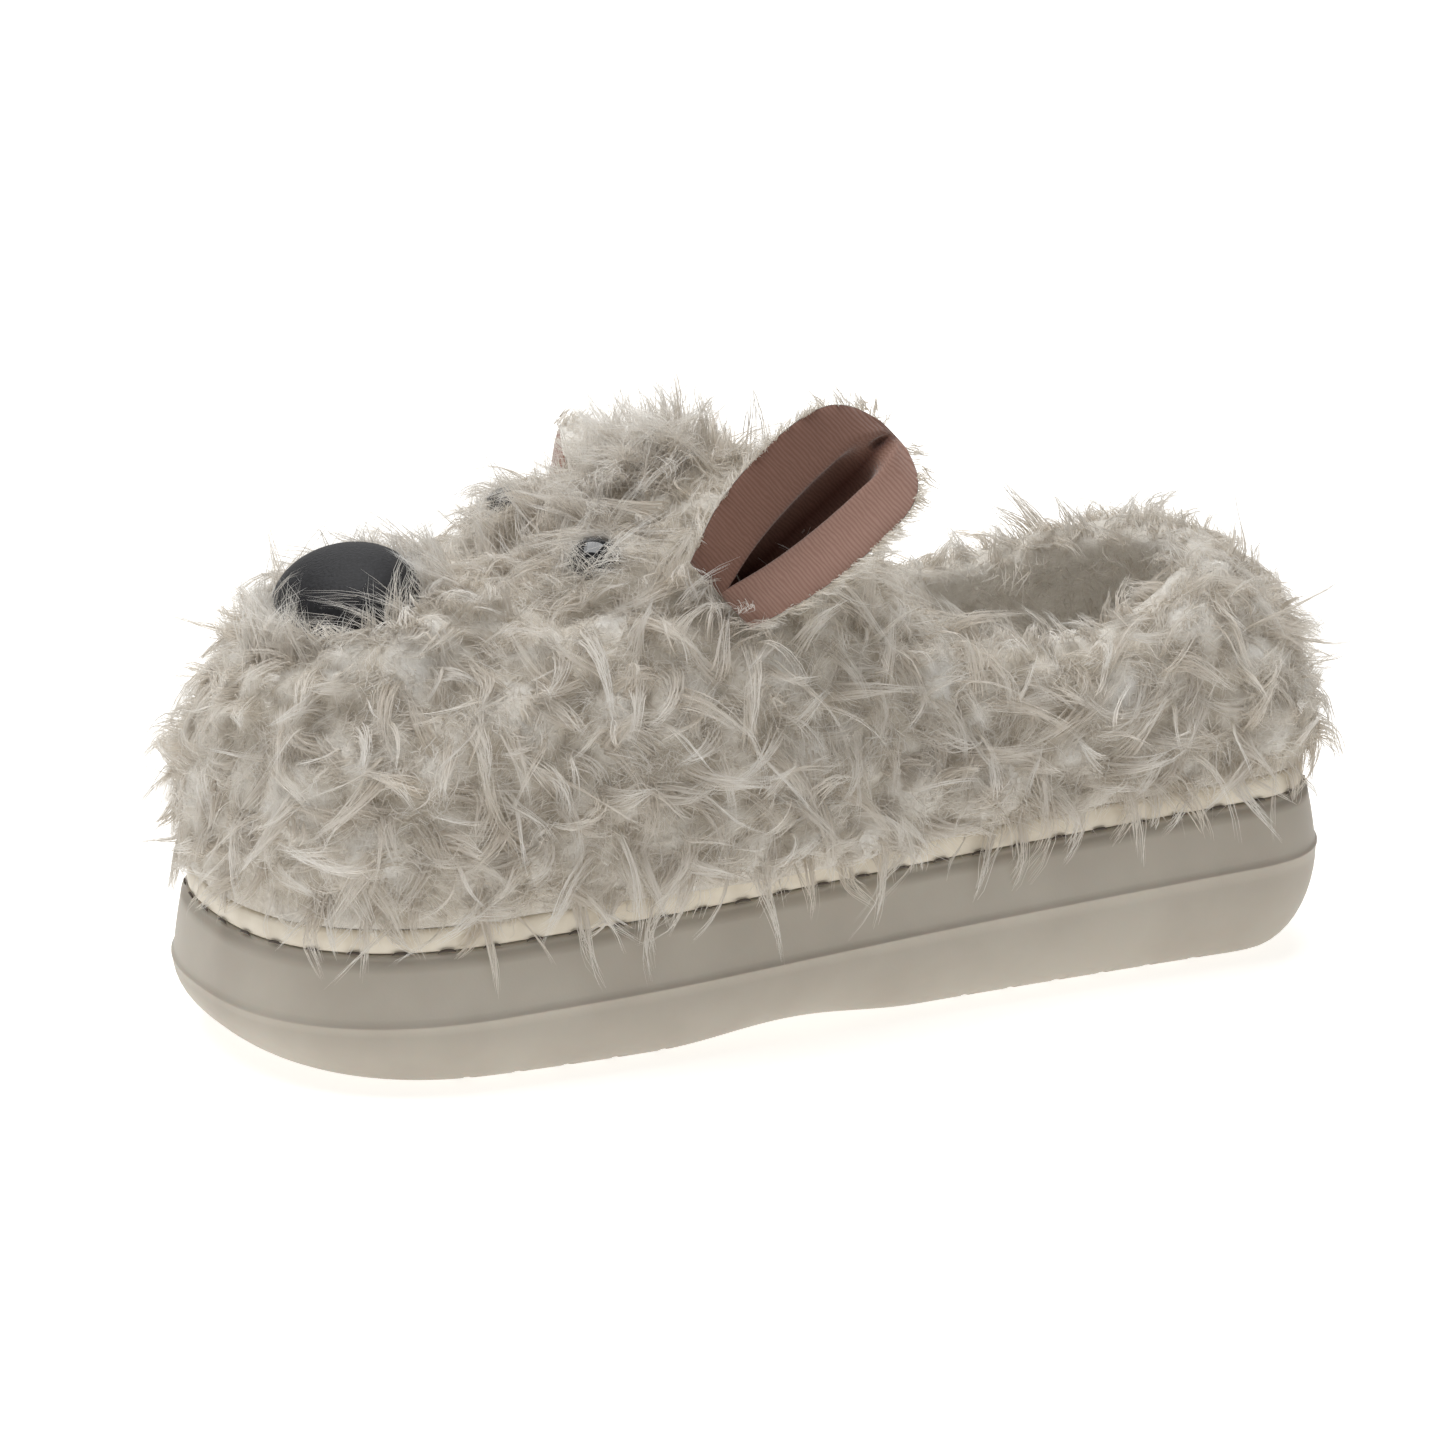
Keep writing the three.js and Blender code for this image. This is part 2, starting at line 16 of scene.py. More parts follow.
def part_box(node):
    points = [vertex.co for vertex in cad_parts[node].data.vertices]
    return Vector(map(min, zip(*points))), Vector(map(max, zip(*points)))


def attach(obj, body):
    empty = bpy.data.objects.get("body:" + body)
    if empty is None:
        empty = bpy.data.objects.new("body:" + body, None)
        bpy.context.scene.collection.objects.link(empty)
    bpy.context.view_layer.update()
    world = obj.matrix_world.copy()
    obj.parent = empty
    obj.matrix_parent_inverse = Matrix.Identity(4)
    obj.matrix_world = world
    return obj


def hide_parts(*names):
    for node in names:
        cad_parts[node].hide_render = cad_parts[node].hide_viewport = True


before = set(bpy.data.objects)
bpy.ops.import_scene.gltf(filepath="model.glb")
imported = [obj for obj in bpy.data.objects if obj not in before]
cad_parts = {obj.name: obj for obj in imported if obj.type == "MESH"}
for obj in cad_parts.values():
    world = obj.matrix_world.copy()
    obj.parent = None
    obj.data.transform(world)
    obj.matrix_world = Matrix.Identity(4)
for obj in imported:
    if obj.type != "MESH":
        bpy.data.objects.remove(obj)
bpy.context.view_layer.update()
SEED = 270
rng = np.random.default_rng(SEED)
noise.seed_set(SEED)

# %% [markdown]
# The slipper is drawn in millimetres round the middle of its sole, as a last is, and moved to
# the frame at the end of each piece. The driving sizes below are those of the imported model.

# %% Sizes
MM = 0.001
SOLE_LOW, SOLE_HIGH = (np.array(corner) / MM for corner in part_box("sole"))
MIDDLE = np.array([0.0, (SOLE_LOW[1] + SOLE_HIGH[1]) / 2, 0.0])
SOLE_LENGTH = 270
BALL_WIDTH = 113
PARTING_TOE, PARTING_HEEL = 16.4, 25.7
RIM_TOE, RIM_HEEL = 32.4, 40.2
RIM_INSET = 3
ROLL_UNDER = 17
TOE_SPRING, ARCH_RISE = 3, 2.4
SKIN_INSET = 4.2
WALL = 7
UNDERFUR = 5
TRAY_INSET = SKIN_INSET + WALL + 1.3
TRAY_DEPTH = 5
WELT_INSET = RIM_INSET + 0.6
WELT_HEIGHT, WELT_THICKNESS = 5.2, 2.2
GAP = 0.3
AROUND = 320
TOE_ROUND, TOE_POWER = 54, 2.4
HEEL_ROUND, HEEL_POWER = 30, 2.9

# Half widths at shares of the length from the toe, in shares of the ball's width
OUTER_SIDE = [(0.0, 0.472), (0.15, 0.484), (0.33, 0.491), (0.5, 0.462), (0.63, 0.441),
              (0.83, 0.425), (1.0, 0.42)]
INNER_SIDE = [(0.0, 0.487), (0.15, 0.498), (0.33, 0.509), (0.5, 0.466), (0.63, 0.434),
              (0.83, 0.416), (1.0, 0.412)]

# %% [markdown]
# Many steps need the same few tools: the move to the frame, a soft step from 0 to 1, a smooth
# curve through a table of values, and points along a line.

# %% Curves and lines


def to_frame(points):
    return (np.asarray(points, float) + MIDDLE) * MM


def smoothstep(low, high, value):
    share = np.clip((np.asarray(value, float) - low) / (high - low), 0, 1)
    return share * share * (3 - 2 * share)


def from_table(rows, at):
    """A smooth curve through rows of (place, value)."""
    places, values = (np.array(column) for column in zip(*rows))
    at = np.clip(at, places[0], places[-1])
    k = np.clip(np.searchsorted(places, at, side="right") - 1, 0, len(rows) - 2)
    before, after = np.maximum(k - 1, 0), np.minimum(k + 2, len(rows) - 1)
    span = places[k + 1] - places[k]
    s = (at - places[k]) / span
    start = (values[k + 1] - values[before]) / (places[k + 1] - places[before]) * span
    end = (values[after] - values[k]) / (places[after] - places[k]) * span
    return (values[k] * (2 * s**3 - 3 * s**2 + 1) + values[k + 1] * (3 * s**2 - 2 * s**3)
            + start * (s**3 - 2 * s**2 + s) + end * (s**3 - s**2))


def lengths_of(line):
    """How long a line of points is up to each of them."""
    return np.concatenate([[0], np.cumsum(norm(np.diff(line, axis=0), axis=1))])


def points_at(line, lengths, at):
    return np.stack([np.interp(at, lengths, column) for column in line.T], 1)


# %% [markdown]
# The camera stands where the photograph's did. Fitting the sole's outline, its parting line and
# its row of stitches gave an elevation of 18 degrees, 64 degrees round from the toe, and a long
# lens from 2.6 m. It aims above the middle of the sole, which the picture shows low.

# %% Camera


def put(name, data):
    thing = bpy.data.objects.new(name, data)
    bpy.context.scene.collection.objects.link(thing)
    return thing


AZIMUTH, ELEVATION = math.radians(64.4), math.radians(18.0)
DISTANCE = 2.599
PIXELS_PER_MM = 4.35
IMAGE = 1445
SOLE_PIXEL = (743.7, 975.6)
SENSOR = 36
back = Vector((math.sin(AZIMUTH) * math.cos(ELEVATION),
               -math.cos(AZIMUTH) * math.cos(ELEVATION), math.sin(ELEVATION)))
right = Vector((math.cos(AZIMUTH), math.sin(AZIMUTH), 0))
up = back.cross(right)
middle = Vector(MIDDLE * MM)
aim = (middle + right * ((IMAGE / 2 - SOLE_PIXEL[0]) / PIXELS_PER_MM * MM)
       + up * ((SOLE_PIXEL[1] - IMAGE / 2) / PIXELS_PER_MM * MM))
lens = bpy.data.cameras.new("lens")
lens.sensor_width = SENSOR
lens.lens = SENSOR * PIXELS_PER_MM * DISTANCE / MM / IMAGE
camera = put("camera", lens)
camera.location = middle + back * DISTANCE
looking = aim - camera.location
camera.rotation_mode = "QUATERNION"
side_axis = looking.cross(up).normalized()
camera.rotation_quaternion = Matrix((side_axis, side_axis.cross(looking).normalized(),
                                     -looking.normalized())).transposed().to_quaternion()
bpy.context.scene.camera = camera
print("lens", round(lens.lens, 1), "mm")

# %% [markdown]
# Materials are node trees on the Principled shader. Colours are written as a paint chart gives
# them, in sRGB hex, and turned to linear light by one function.

# %% Material helpers


def colour(code):
    channels = [int(code[k:k + 2], 16) / 255 for k in (1, 3, 5)]
    linear = [c / 12.92 if c <= 0.04045 else ((c + 0.055) / 1.055) ** 2.4 for c in channels]
    return (*linear, 1.0)


def start_material(name, **sockets):
    material = bpy.data.materials.new(name)
    material.use_nodes = True
    shader = material.node_tree.nodes["Principled BSDF"]
    for socket, value in sockets.items():
        shader.inputs[socket.replace("_", " ")].default_value = value
    return material, shader


def add(material, kind, settings=None, values=None, links=None):
    """One node: its settings, its sockets' values, and links given as socket: (node, output)."""
    tree = material.node_tree
    node = tree.nodes.new("ShaderNode" + kind)
    for name, value in (settings or {}).items():
        setattr(node, name, value)
    for name, value in (values or {}).items():
        node.inputs[name].default_value = value
    for name, (source, output) in (links or {}).items():
        tree.links.new(source.outputs[output], node.inputs[name])
    return node


def join(material, shader, node, output="Color", socket="Base Color"):
    material.node_tree.links.new(node.outputs[output], shader.inputs[socket])


def ramp(material, stops, source, output="Fac"):
    node = add(material, "ValToRGB", links={"Fac": (source, output)})
    elements = node.color_ramp.elements
    while len(elements) < len(stops):
        elements.new(0.5)
    for element, (place, code) in zip(elements, stops):
        element.position = place
        element.color = colour(code)
    return node


def grains(material, size_mm, detail, roughness=0.5):
    """A noise in space whose grains are about size_mm across."""
    place = add(material, "TexCoord")
    return add(material, "TexNoise", values={"Scale": 1 / (size_mm * MM), "Detail": detail,
                                             "Roughness": roughness},
               links={"Vector": (place, "Object")})


def emboss(material, shader, source, strength, distance):
    """Fine relief in the shading, from a node's Fac."""
    relief = add(material, "Bump", values={"Strength": strength, "Distance": distance},
                 links={"Height": (source, "Fac")})
    join(material, shader, relief, "Normal", "Normal")


def mottled(name, stops, size_mm, detail, strength, distance, finer=None, **sockets):
    """Two mingled tones, with relief from the same grains or from finer ones."""
    material, shader = start_material(name, **sockets)
    patches = grains(material, size_mm, detail)
    join(material, shader, ramp(material, stops, patches))
    relief = grains(material, *finer) if finer else patches
    emboss(material, shader, relief, strength, distance)
    return material


def multiply(material, factor, first, second):
    """The product of two colours, each given as (node, output)."""
    return add(material, "Mix", {"data_type": "RGBA", "blend_type": "MULTIPLY"},
               {"Factor": factor}, {"A": first, "B": second})


# %% [markdown]
# A white sweep that glows a little by itself, as in a product studio, so that it comes out white
# and lights the slipper from below. A wide panel overhead makes the top the brightest part, and
# a weak one behind lifts the far edges. Nothing bright is on the camera's side.

# %% Floor and light
bpy.context.scene.view_settings.view_transform = "Standard"
bm = bmesh.new()
bmesh.ops.create_grid(bm, x_segments=1, y_segments=1, size=12)
floor_mesh = bpy.data.meshes.new("floor")
bm.to_mesh(floor_mesh)
bm.free()
floor = put("floor", floor_mesh)
floor_paint, _ = start_material("lit_white_sweep", Base_Color=colour("#c8c7c5"), Roughness=0.9,
                                Emission_Color=colour("#fffdf9"), Emission_Strength=0.78)
floor.data.materials.append(floor_paint)

world = bpy.data.worlds.new("surround")
bpy.context.scene.world = world
world.use_nodes = True
sky = world.node_tree.nodes["Background"].inputs
sky["Color"].default_value = (0.98, 0.99, 1, 1)
sky["Strength"].default_value = 0.2


def panel(name, place, target, size, watts):
    light = bpy.data.lights.new(name, "AREA")
    light.shape = "SQUARE"
    light.size = size
    light.energy = watts
    lamp = put(name, light)
    lamp.location = place
    lamp.rotation_mode = "QUATERNION"
    lamp.rotation_quaternion = (Vector(target) - Vector(place)).to_track_quat("-Z", "Y")


panel("overhead", (-0.2, -0.3, 1.7), (0, -0.1, 0.05), 1.6, 35)
panel("behind", (-1.3, 0.5, 0.9), (0, -0.07, 0.07), 1.2, 4)

# %% [markdown]
# The plan of the sole is the widest outline of the slipper, and all that stands on it follows
# that line at some inset. The outline is sampled evenly, from the toe tip round the outer side.

# %% Plan


def rounded_end(share, power):
    share = np.minimum(share, 1)
    return (1 - (1 - share) ** power) ** (1 / power)


def share_along(y):
    return np.clip(y / SOLE_LENGTH + 0.5, 0, 1)


def rim_z(y):
    return RIM_TOE + (RIM_HEEL - RIM_TOE) * share_along(y)


def tray_z(y):
    return rim_z(y) - TRAY_DEPTH


def parting_z(y):
    return PARTING_TOE + (PARTING_HEEL - PARTING_TOE) * share_along(y)


def ground_z(y):
    """The underside: it rises at the toe's tip and in the arch."""
    t = share_along(y)
    in_arch = np.clip((t - 0.34) / 0.26, 0, 1)
    return (TOE_SPRING * np.maximum(0, 1 - t / 0.22) ** 2
            + ARCH_RISE * np.sin(math.pi * in_arch) ** 2)


def plan_outline():
    fine = 9 * AROUND
    turn = np.arange(fine) / fine
    along = (1 - np.cos(2 * math.pi * turn)) / 2
    ends = (rounded_end(along * SOLE_LENGTH / TOE_ROUND, TOE_POWER)
            * rounded_end((1 - along) * SOLE_LENGTH / HEEL_ROUND, HEEL_POWER))
    outer = BALL_WIDTH * from_table(OUTER_SIDE, along) * ends
    inner = -BALL_WIDTH * from_table(INNER_SIDE, along) * ends
    x = np.where(turn < 0.5, outer, inner)
    loop = np.stack([x, (along - 0.5) * SOLE_LENGTH], 1)
    loop = np.vstack([loop, loop[:1]])
    lengths = lengths_of(loop)
    at = np.linspace(0, lengths[-1], AROUND, endpoint=False)
    return points_at(loop, lengths, at), lengths[-1]


PLAN, GIRTH = plan_outline()
tangent = np.roll(PLAN, -1, 0) - np.roll(PLAN, 1, 0)
OUTWARD = np.stack([tangent[:, 1], -tangent[:, 0]], 1)
OUTWARD /= norm(OUTWARD, axis=1, keepdims=True)


def plan_ring(inset, height):
    """The outline moved in by an inset, at the height that a function gives."""
    flat = PLAN - OUTWARD * inset
    return np.column_stack([flat, height(flat[:, 1])])


print("girth", round(GIRTH), "mm")

# %% [markdown]
# Most pieces of a shoe are lofts: a loop of edges that climbs from ring to ring. Here a circle is
# moved to the first ring and its edges are extruded to each next one, so that the quads follow
# the shape, and the ends are filled or joined.

# %% Loft


def grow(bm, row, edges):
    """Extrudes a loop of edges, and gives its new points, in the old order, and edges."""
    grown = bmesh.ops.extrude_edge_only(bm, edges=edges)["geom"]
    fresh = {item for item in grown if isinstance(item, bmesh.types.BMVert)}
    row = [next(e.other_vert(v) for e in v.link_edges if e.other_vert(v) in fresh) for v in row]
    return row, [item for item in grown if isinstance(item, bmesh.types.BMEdge)
                 and item.verts[0] in fresh and item.verts[1] in fresh]


def loft(rings, closes=False, marks=None):
    """A skin through rings of points. Marks are named numbers that each point carries along."""
    bm = bmesh.new()
    layers = {name: bm.verts.layers.float.new(name) for name in marks or {}}
    bmesh.ops.create_circle(bm, segments=len(rings[0]), radius=1)
    bm.verts.ensure_lookup_table()
    row = list(bm.verts)
    first = edges = list(bm.edges)

    def settle(number):
        for n, (vert, point) in enumerate(zip(row, rings[number])):
            vert.co = point
            for name, layer in layers.items():
                vert[layer] = marks[name][number][n]

    settle(0)
    for number in range(1, len(rings)):
        row, edges = grow(bm, row, edges)
        settle(number)
    if closes:
        bmesh.ops.bridge_loops(bm, edges=first + edges)
    else:
        bmesh.ops.contextual_create(bm, geom=first)
        bmesh.ops.contextual_create(bm, geom=edges)
    bmesh.ops.recalc_face_normals(bm, faces=bm.faces)
    return bm


def dress(name, mesh, material, replaces=()):
    """Makes a mesh a piece of the slipper, in place of the solids it remakes."""
    piece = put(name, mesh)
    mesh.materials.append(material)
    mesh.shade_smooth()
    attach(piece, "root")
    if replaces:
        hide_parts(*replaces)
    return piece


def finish_piece(bm, name, material, replaces=()):
    for vert in bm.verts:
        vert.co = (vert.co + Vector(MIDDLE)) * MM
    mesh = bpy.data.meshes.new(name)
    bm.to_mesh(mesh)
    bm.free()
    mesh.calc_loop_triangles()
    print(name, len(mesh.loop_triangles), "triangles")
    return dress(name, mesh, material, replaces)


# %% [markdown]
# The sole is moulded in one piece from closed-cell foam. It has a satin skin with a fine grain,
# and where the two halves of the mould met, a thin ridge runs round the middle of its side.

# %% Foam finish
foam = mottled("moulded_foam", [(0.35, "#ada599"), (0.65, "#b7b0a4")], 28, 4, 0.12, 0.0002,
               finer=(0.7, 3), Roughness=0.52, Subsurface_Weight=0.12,
               Subsurface_Scale=0.004, Specular_IOR_Level=0.4)

# %% Sole
RIDGE_PROUD, RIM_ROLL, TRAY_DRAFT = 0.25, 1.4, 1
GROOVE_WIDTH, GROOVE_DEPTH, GROOVE_PITCH = 3, 1.6, 12
GROOVED = ((0.17, 0.35), (0.64, 0.88))


def sole_rings():
    rings = []
    for share in (0.04, 0.25, 0.5, 0.75, 0.92):
        low = plan_ring(ROLL_UNDER, ground_z)
        low[:, 0] *= share
        rings.append(low)
    for turn in np.radians(np.linspace(90, 0, 14)):
        top = lambda y: parting_z(y) - 0.5
        height = lambda y: top(y) + (ground_z(y) - top(y)) * math.sin(turn)
        rings.append(plan_ring(ROLL_UNDER * (1 - math.cos(turn)), height))
    for inset, rise in ((-RIDGE_PROUD, -0.35), (-RIDGE_PROUD, 0.1), (0.1, 0.35)):
        rings.append(plan_ring(inset, lambda y: parting_z(y) + rise))
    for share in np.linspace(0.12, 0.88, 7):
        lift = lambda y: parting_z(y) + (rim_z(y) - parting_z(y)) * share
        rings.append(plan_ring(RIM_INSET * (0.1 + 0.75 * share ** 1.3), lift))
    for turn in np.radians([0, 30, 60, 90]):
        edge = RIM_INSET + RIM_ROLL * (1 - math.cos(turn))
        rings.append(plan_ring(edge, lambda y: rim_z(y) - RIM_ROLL * (1 - math.sin(turn))))
    rings.append(plan_ring(TRAY_INSET, rim_z))
    rings += [plan_ring(TRAY_INSET + TRAY_DRAFT, tray_z) for _ in range(2)]
    rings[-1][:, 0] *= 0.05
    return rings


def cut_groove(bm, y):
    """A groove straight across the tread, up to a flat bed above the ground."""
    start, end = y - GROOVE_WIDTH / 2, y + GROOVE_WIDTH / 2
    for at in (start, start + 0.05, end - 0.05, end):
        faces = [f for f in bm.faces if f.calc_center_median().z < GROOVE_DEPTH * 3]
        geom = faces + list({e for f in faces for e in f.edges}
                            | {v for f in faces for v in f.verts})
        bmesh.ops.bisect_plane(bm, geom=geom, plane_co=(0, at, 0), plane_no=(0, 1, 0))
    for vert in bm.verts:
        if start + 0.02 < vert.co.y < end - 0.02:
            vert.co.z = max(vert.co.z, GROOVE_DEPTH)


bm = loft(sole_rings())
for low, high in GROOVED:
    start, end = (low - 0.5) * SOLE_LENGTH, (high - 0.5) * SOLE_LENGTH
    for y in np.arange(start, end + 1e-6, GROOVE_PITCH):
        cut_groove(bm, y)
finish_piece(bm, "foam_sole", foam, ["sole"])

# %% [markdown]
# The upper is a wall of lining, foam and backing that is drawn down over a last. Its middle line
# climbs from the sole to the crest of the collar at each place round the foot: over the toes it
# is a full dome, and at the sides and heel it still leans upwards where it ends. The stuffed
# forehead stands up from it, with a dip before it at the eyes.

# %% Wall of the upper
COLLAR_LENGTH, COLLAR_WIDTH = 100, 68
THROAT_HEIGHT, SIDE_HEIGHT, HEEL_HEIGHT = 98, 77, 88
COLLAR_Y = SOLE_LENGTH / 2 - 23 - COLLAR_LENGTH / 2
FOREHEAD_Y = COLLAR_Y - COLLAR_LENGTH / 2 - 26
BROW_Y = FOREHEAD_Y - 44
FOREHEAD_SPREAD, FOREHEAD_RISE = 25, 22
BROW_SPREAD, BROW_DIP = 15, 5
FULLNESS, FULLER_OVER_TOES = 2.5, 0.8
SWEEP, WIDER_OVER_TOES = 60, 30
UP = 60


def collar_crest(direction):
    """The collar is an oval that rises to the throat and the heel."""
    a, b = COLLAR_LENGTH / 2, COLLAR_WIDTH / 2
    reach = a * b / np.hypot(b * np.cos(direction), a * np.sin(direction))
    behind = np.maximum(0, np.cos(direction)) ** 2.4
    before = np.maximum(0, -np.cos(direction)) ** 5
    return np.stack([reach * np.sin(direction), COLLAR_Y + reach * np.cos(direction),
                     SIDE_HEIGHT + (HEEL_HEIGHT - SIDE_HEIGHT) * behind
                     + (THROAT_HEIGHT - SIDE_HEIGHT) * before], -1)


def wall_grid():
    """The wall's middle line at each place round the foot, in even steps."""
    foot = plan_ring(SKIN_INSET + WALL / 2, lambda y: rim_z(y) + WELT_HEIGHT + 3 * GAP)
    direction = np.arctan2(foot[:, 0], foot[:, 1] - COLLAR_Y)
    crest = collar_crest(direction)
    over_toes = smoothstep(0.5, 0.96, (1 - np.cos(direction)) / 2)
    grid = np.zeros((AROUND, UP + 1, 3))
    for i in range(AROUND):
        power = 2 / (FULLNESS + FULLER_OVER_TOES * over_toes[i])
        sweep = math.radians(SWEEP + WIDER_OVER_TOES * over_toes[i])
        turn = sweep * np.linspace(0, 1, 181) ** 1.6
        inward = (1 - np.cos(turn) ** power) / (1 - math.cos(sweep) ** power)
        upward = np.sin(turn) ** power / math.sin(sweep) ** power
        line = foot[i] + (crest[i] - foot[i]) * inward[:, None]
        line[:, 2] = foot[i, 2] + (crest[i, 2] - foot[i, 2]) * upward
        lengths = lengths_of(line)
        grid[i] = points_at(line, lengths, np.linspace(0, lengths[-1], UP + 1))
    return grid


def grid_normals(grid):
    along = np.roll(grid, -1, 0) - np.roll(grid, 1, 0)
    climb = np.empty_like(grid)
    climb[:, 1:-1] = grid[:, 2:] - grid[:, :-2]
    climb[:, 0], climb[:, -1] = grid[:, 1] - grid[:, 0], grid[:, -1] - grid[:, -2]
    normal = np.cross(along, climb)
    return normal / norm(normal, axis=-1, keepdims=True)


def stuffing(p):
    """How far the filling pushes the skin out."""
    def swell(y, spread, rise):
        return rise * np.exp(-(p[..., 0] ** 2 * 0.8 + (p[..., 1] - y) ** 2) / (2 * spread**2))
    return swell(FOREHEAD_Y, FOREHEAD_SPREAD, FOREHEAD_RISE) - swell(BROW_Y, BROW_SPREAD, BROW_DIP)


def fur_depth(up):
    """The dense underfur ends at the welt and thins at the collar."""
    return UNDERFUR * smoothstep(-0.04, 0.14, up) * (1 - 0.55 * smoothstep(0.86, 1, up))


WALL_GRID = wall_grid()
WALL_NORMALS = grid_normals(WALL_GRID)
STEPS_UP = np.linspace(0, 1, UP + 1)
THICK = WALL / 2 + fur_depth(STEPS_UP) + stuffing(WALL_GRID)
OUTER = WALL_GRID + WALL_NORMALS * THICK[..., None]
OUTER_NORMALS = grid_normals(OUTER)
INNER = WALL_GRID - WALL_NORMALS * WALL / 2
print("outside of the upper is", np.round(OUTER.reshape(-1, 3).max(0)), "mm at most")

# %% [markdown]
# Under the long hair lies dense wool that has felted into soft lumps. It is real relief, so it
# closes the gaps between the locks with a rounded form instead of a dark hole. The lumps are
# cells of a Voronoi pattern, full in their middle and creased where they meet.

# %% Lumps of the wool


def unit(v):
    return v / np.maximum(norm(v, axis=-1, keepdims=True), 1e-9)


def seat_over(x, y):
    """The outside of the upper over a place in plan, and its normal there."""
    away = np.hypot(OUTER[..., 0] - x, OUTER[..., 1] - y)
    away[:, :UP // 3] = 1e9
    i, k = np.unravel_index(np.argmin(away), away.shape)
    return OUTER[i, k], OUTER_NORMALS[i, k]


NOSE_Y, EYE_Y, EYE_APART = 38 - SOLE_LENGTH / 2, FOREHEAD_Y - 33, 46
SEATS = {"nose": seat_over(0, NOSE_Y), "left": seat_over(EYE_APART / 2, EYE_Y),
         "right": seat_over(-EYE_APART / 2, EYE_Y)}
EAR_FOOT = (40, FOREHEAD_Y - 10, THROAT_HEIGHT + 6)
EARS = {"left": (EAR_FOOT, (9, 33, 31), (0.8, -0.5, 0.3)),
        "right": ((-EAR_FOOT[0], *EAR_FOOT[1:]), (-36, 31, -14), (-0.8, -0.5, 0.3))}
LUMP_SIZE, LUMP_HEIGHT, LUMP_SINK = 17, 4.5, 3
EAR_HOLLOW = 3


def felted(points):
    """How far the wool swells at some places, from 0 in a crease to 1 on a lump."""
    high = np.empty(len(points))
    for n, p in enumerate(points):
        drift = noise.noise_vector(Vector(p) / 30) * 6
        broad = noise.voronoi((Vector(p) + drift) / LUMP_SIZE)[0]
        fine = noise.voronoi((Vector(p) - drift) / (LUMP_SIZE * 0.4))[0]
        high[n] = 0.7 * min(1, (broad[1] - broad[0]) * 1.6) ** 0.6 + 0.3 * (1 - fine[0])
    return np.clip(high, 0, 1)


shares_up = np.broadcast_to(STEPS_UP, OUTER.shape[:2])
LUMPS = felted(OUTER.reshape(-1, 3)).reshape(OUTER.shape[:2])
room = smoothstep(0.0, 0.1, shares_up) * (1 - 0.7 * smoothstep(0.85, 1, shares_up))
hollow = np.zeros(room.shape)

# The wool is low under a button and swells to a cushion round it
for seat, clear, cushion in (("nose", 18, 7), ("left", 6, 5), ("right", 6, 6.5)):
    away = norm(OUTER - SEATS[seat][0], axis=-1) / clear
    room = room * (0.1 + 0.9 * smoothstep(0.7, 1.2, away))
    hollow -= cushion * smoothstep(0.75, 1.1, away) * (1 - smoothstep(1.4, 2.2, away))
for foot, lean, _ in EARS.values():
    at = np.array(foot) + 6 * unit(np.array(lean, float))
    hollow += EAR_HOLLOW * (1 - smoothstep(9, 18, norm(OUTER - at, axis=-1)))
WOOL = OUTER + OUTER_NORMALS * (room * (LUMP_HEIGHT * LUMPS - LUMP_SINK) - hollow)[..., None]
WOOL_NORMALS = grid_normals(WOOL)
print("lumps rise", np.round(np.ptp(LUMPS) * LUMP_HEIGHT, 1), "mm")

# %% Pile finishes
# Painted glows: emission strengths that make the pile and the strands give off a little light in
# their own colour, so that their shade is lifted
PILE_PAINTED_GLOW, HAIR_PAINTED_GLOW = 0.04, 0.03


def pile(name, stops, size_mm, strength, painted_crease_shade=None):
    """A short dense pile: mottled in a range of tones and, if asked, with painted shade that
    darkens it where the swell mark is low, between the lumps.
    A faint painted glow, an emission in the pile's own colour, stands in for the light that a pile
    passes from fibre to fibre."""
    material, shader = start_material(name, Roughness=0.95, Sheen_Weight=0.45,
                                      Sheen_Roughness=0.5, Specular_IOR_Level=0.1,
                                      Emission_Strength=PILE_PAINTED_GLOW)
    tufts = grains(material, size_mm, 6, 0.7)
    tone, output = ramp(material, stops, tufts), "Color"
    # Painted shade between the lumps, multiplied in from the swell mark
    if painted_crease_shade:
        depth = add(material, "Attribute", {"attribute_name": "swell"})
        shade = ramp(material, painted_crease_shade, depth)
        tone = multiply(material, 1.0, (tone, "Color"), (shade, "Color"))
        output = "Result"
    join(material, shader, tone, output)
    # Painted glow in the pile's own colour
    join(material, shader, tone, output, "Emission Color")
    emboss(material, shader, tufts, strength, 0.001)
    return material


brushed = pile("brushed_lining", [(0.3, "#ebe6dd"), (0.7, "#f9f6f0")], 1.6, 0.6)
# The felted wool's last stops are painted shade: darker where the swell mark is low, between the
# lumps, and unchanged on their tops
woolly = pile("felted_wool", [(0.3, "#dcd7cf"), (0.7, "#f3f1ec")], 1.8, 1.0,
              [(0.0, "#cfc7ba"), (0.4, "#e9e4dc"), (0.9, "#ffffff")])

# %% Shell of the upper


def crest_ring(turn):
    """A ring on the collar's rounded edge, from 0 degrees outside to 180 inside."""
    crest, normal = WALL_GRID[:, -1], WALL_NORMALS[:, -1]
    onward = unit(crest - WALL_GRID[:, -2])
    swell = (fur_depth(1.0) + stuffing(crest)) * max(0, math.cos(turn))
    return (crest + normal * ((WALL / 2 + swell) * math.cos(turn))[:, None]
            + onward * WALL / 2 * 1.15 * math.sin(turn))


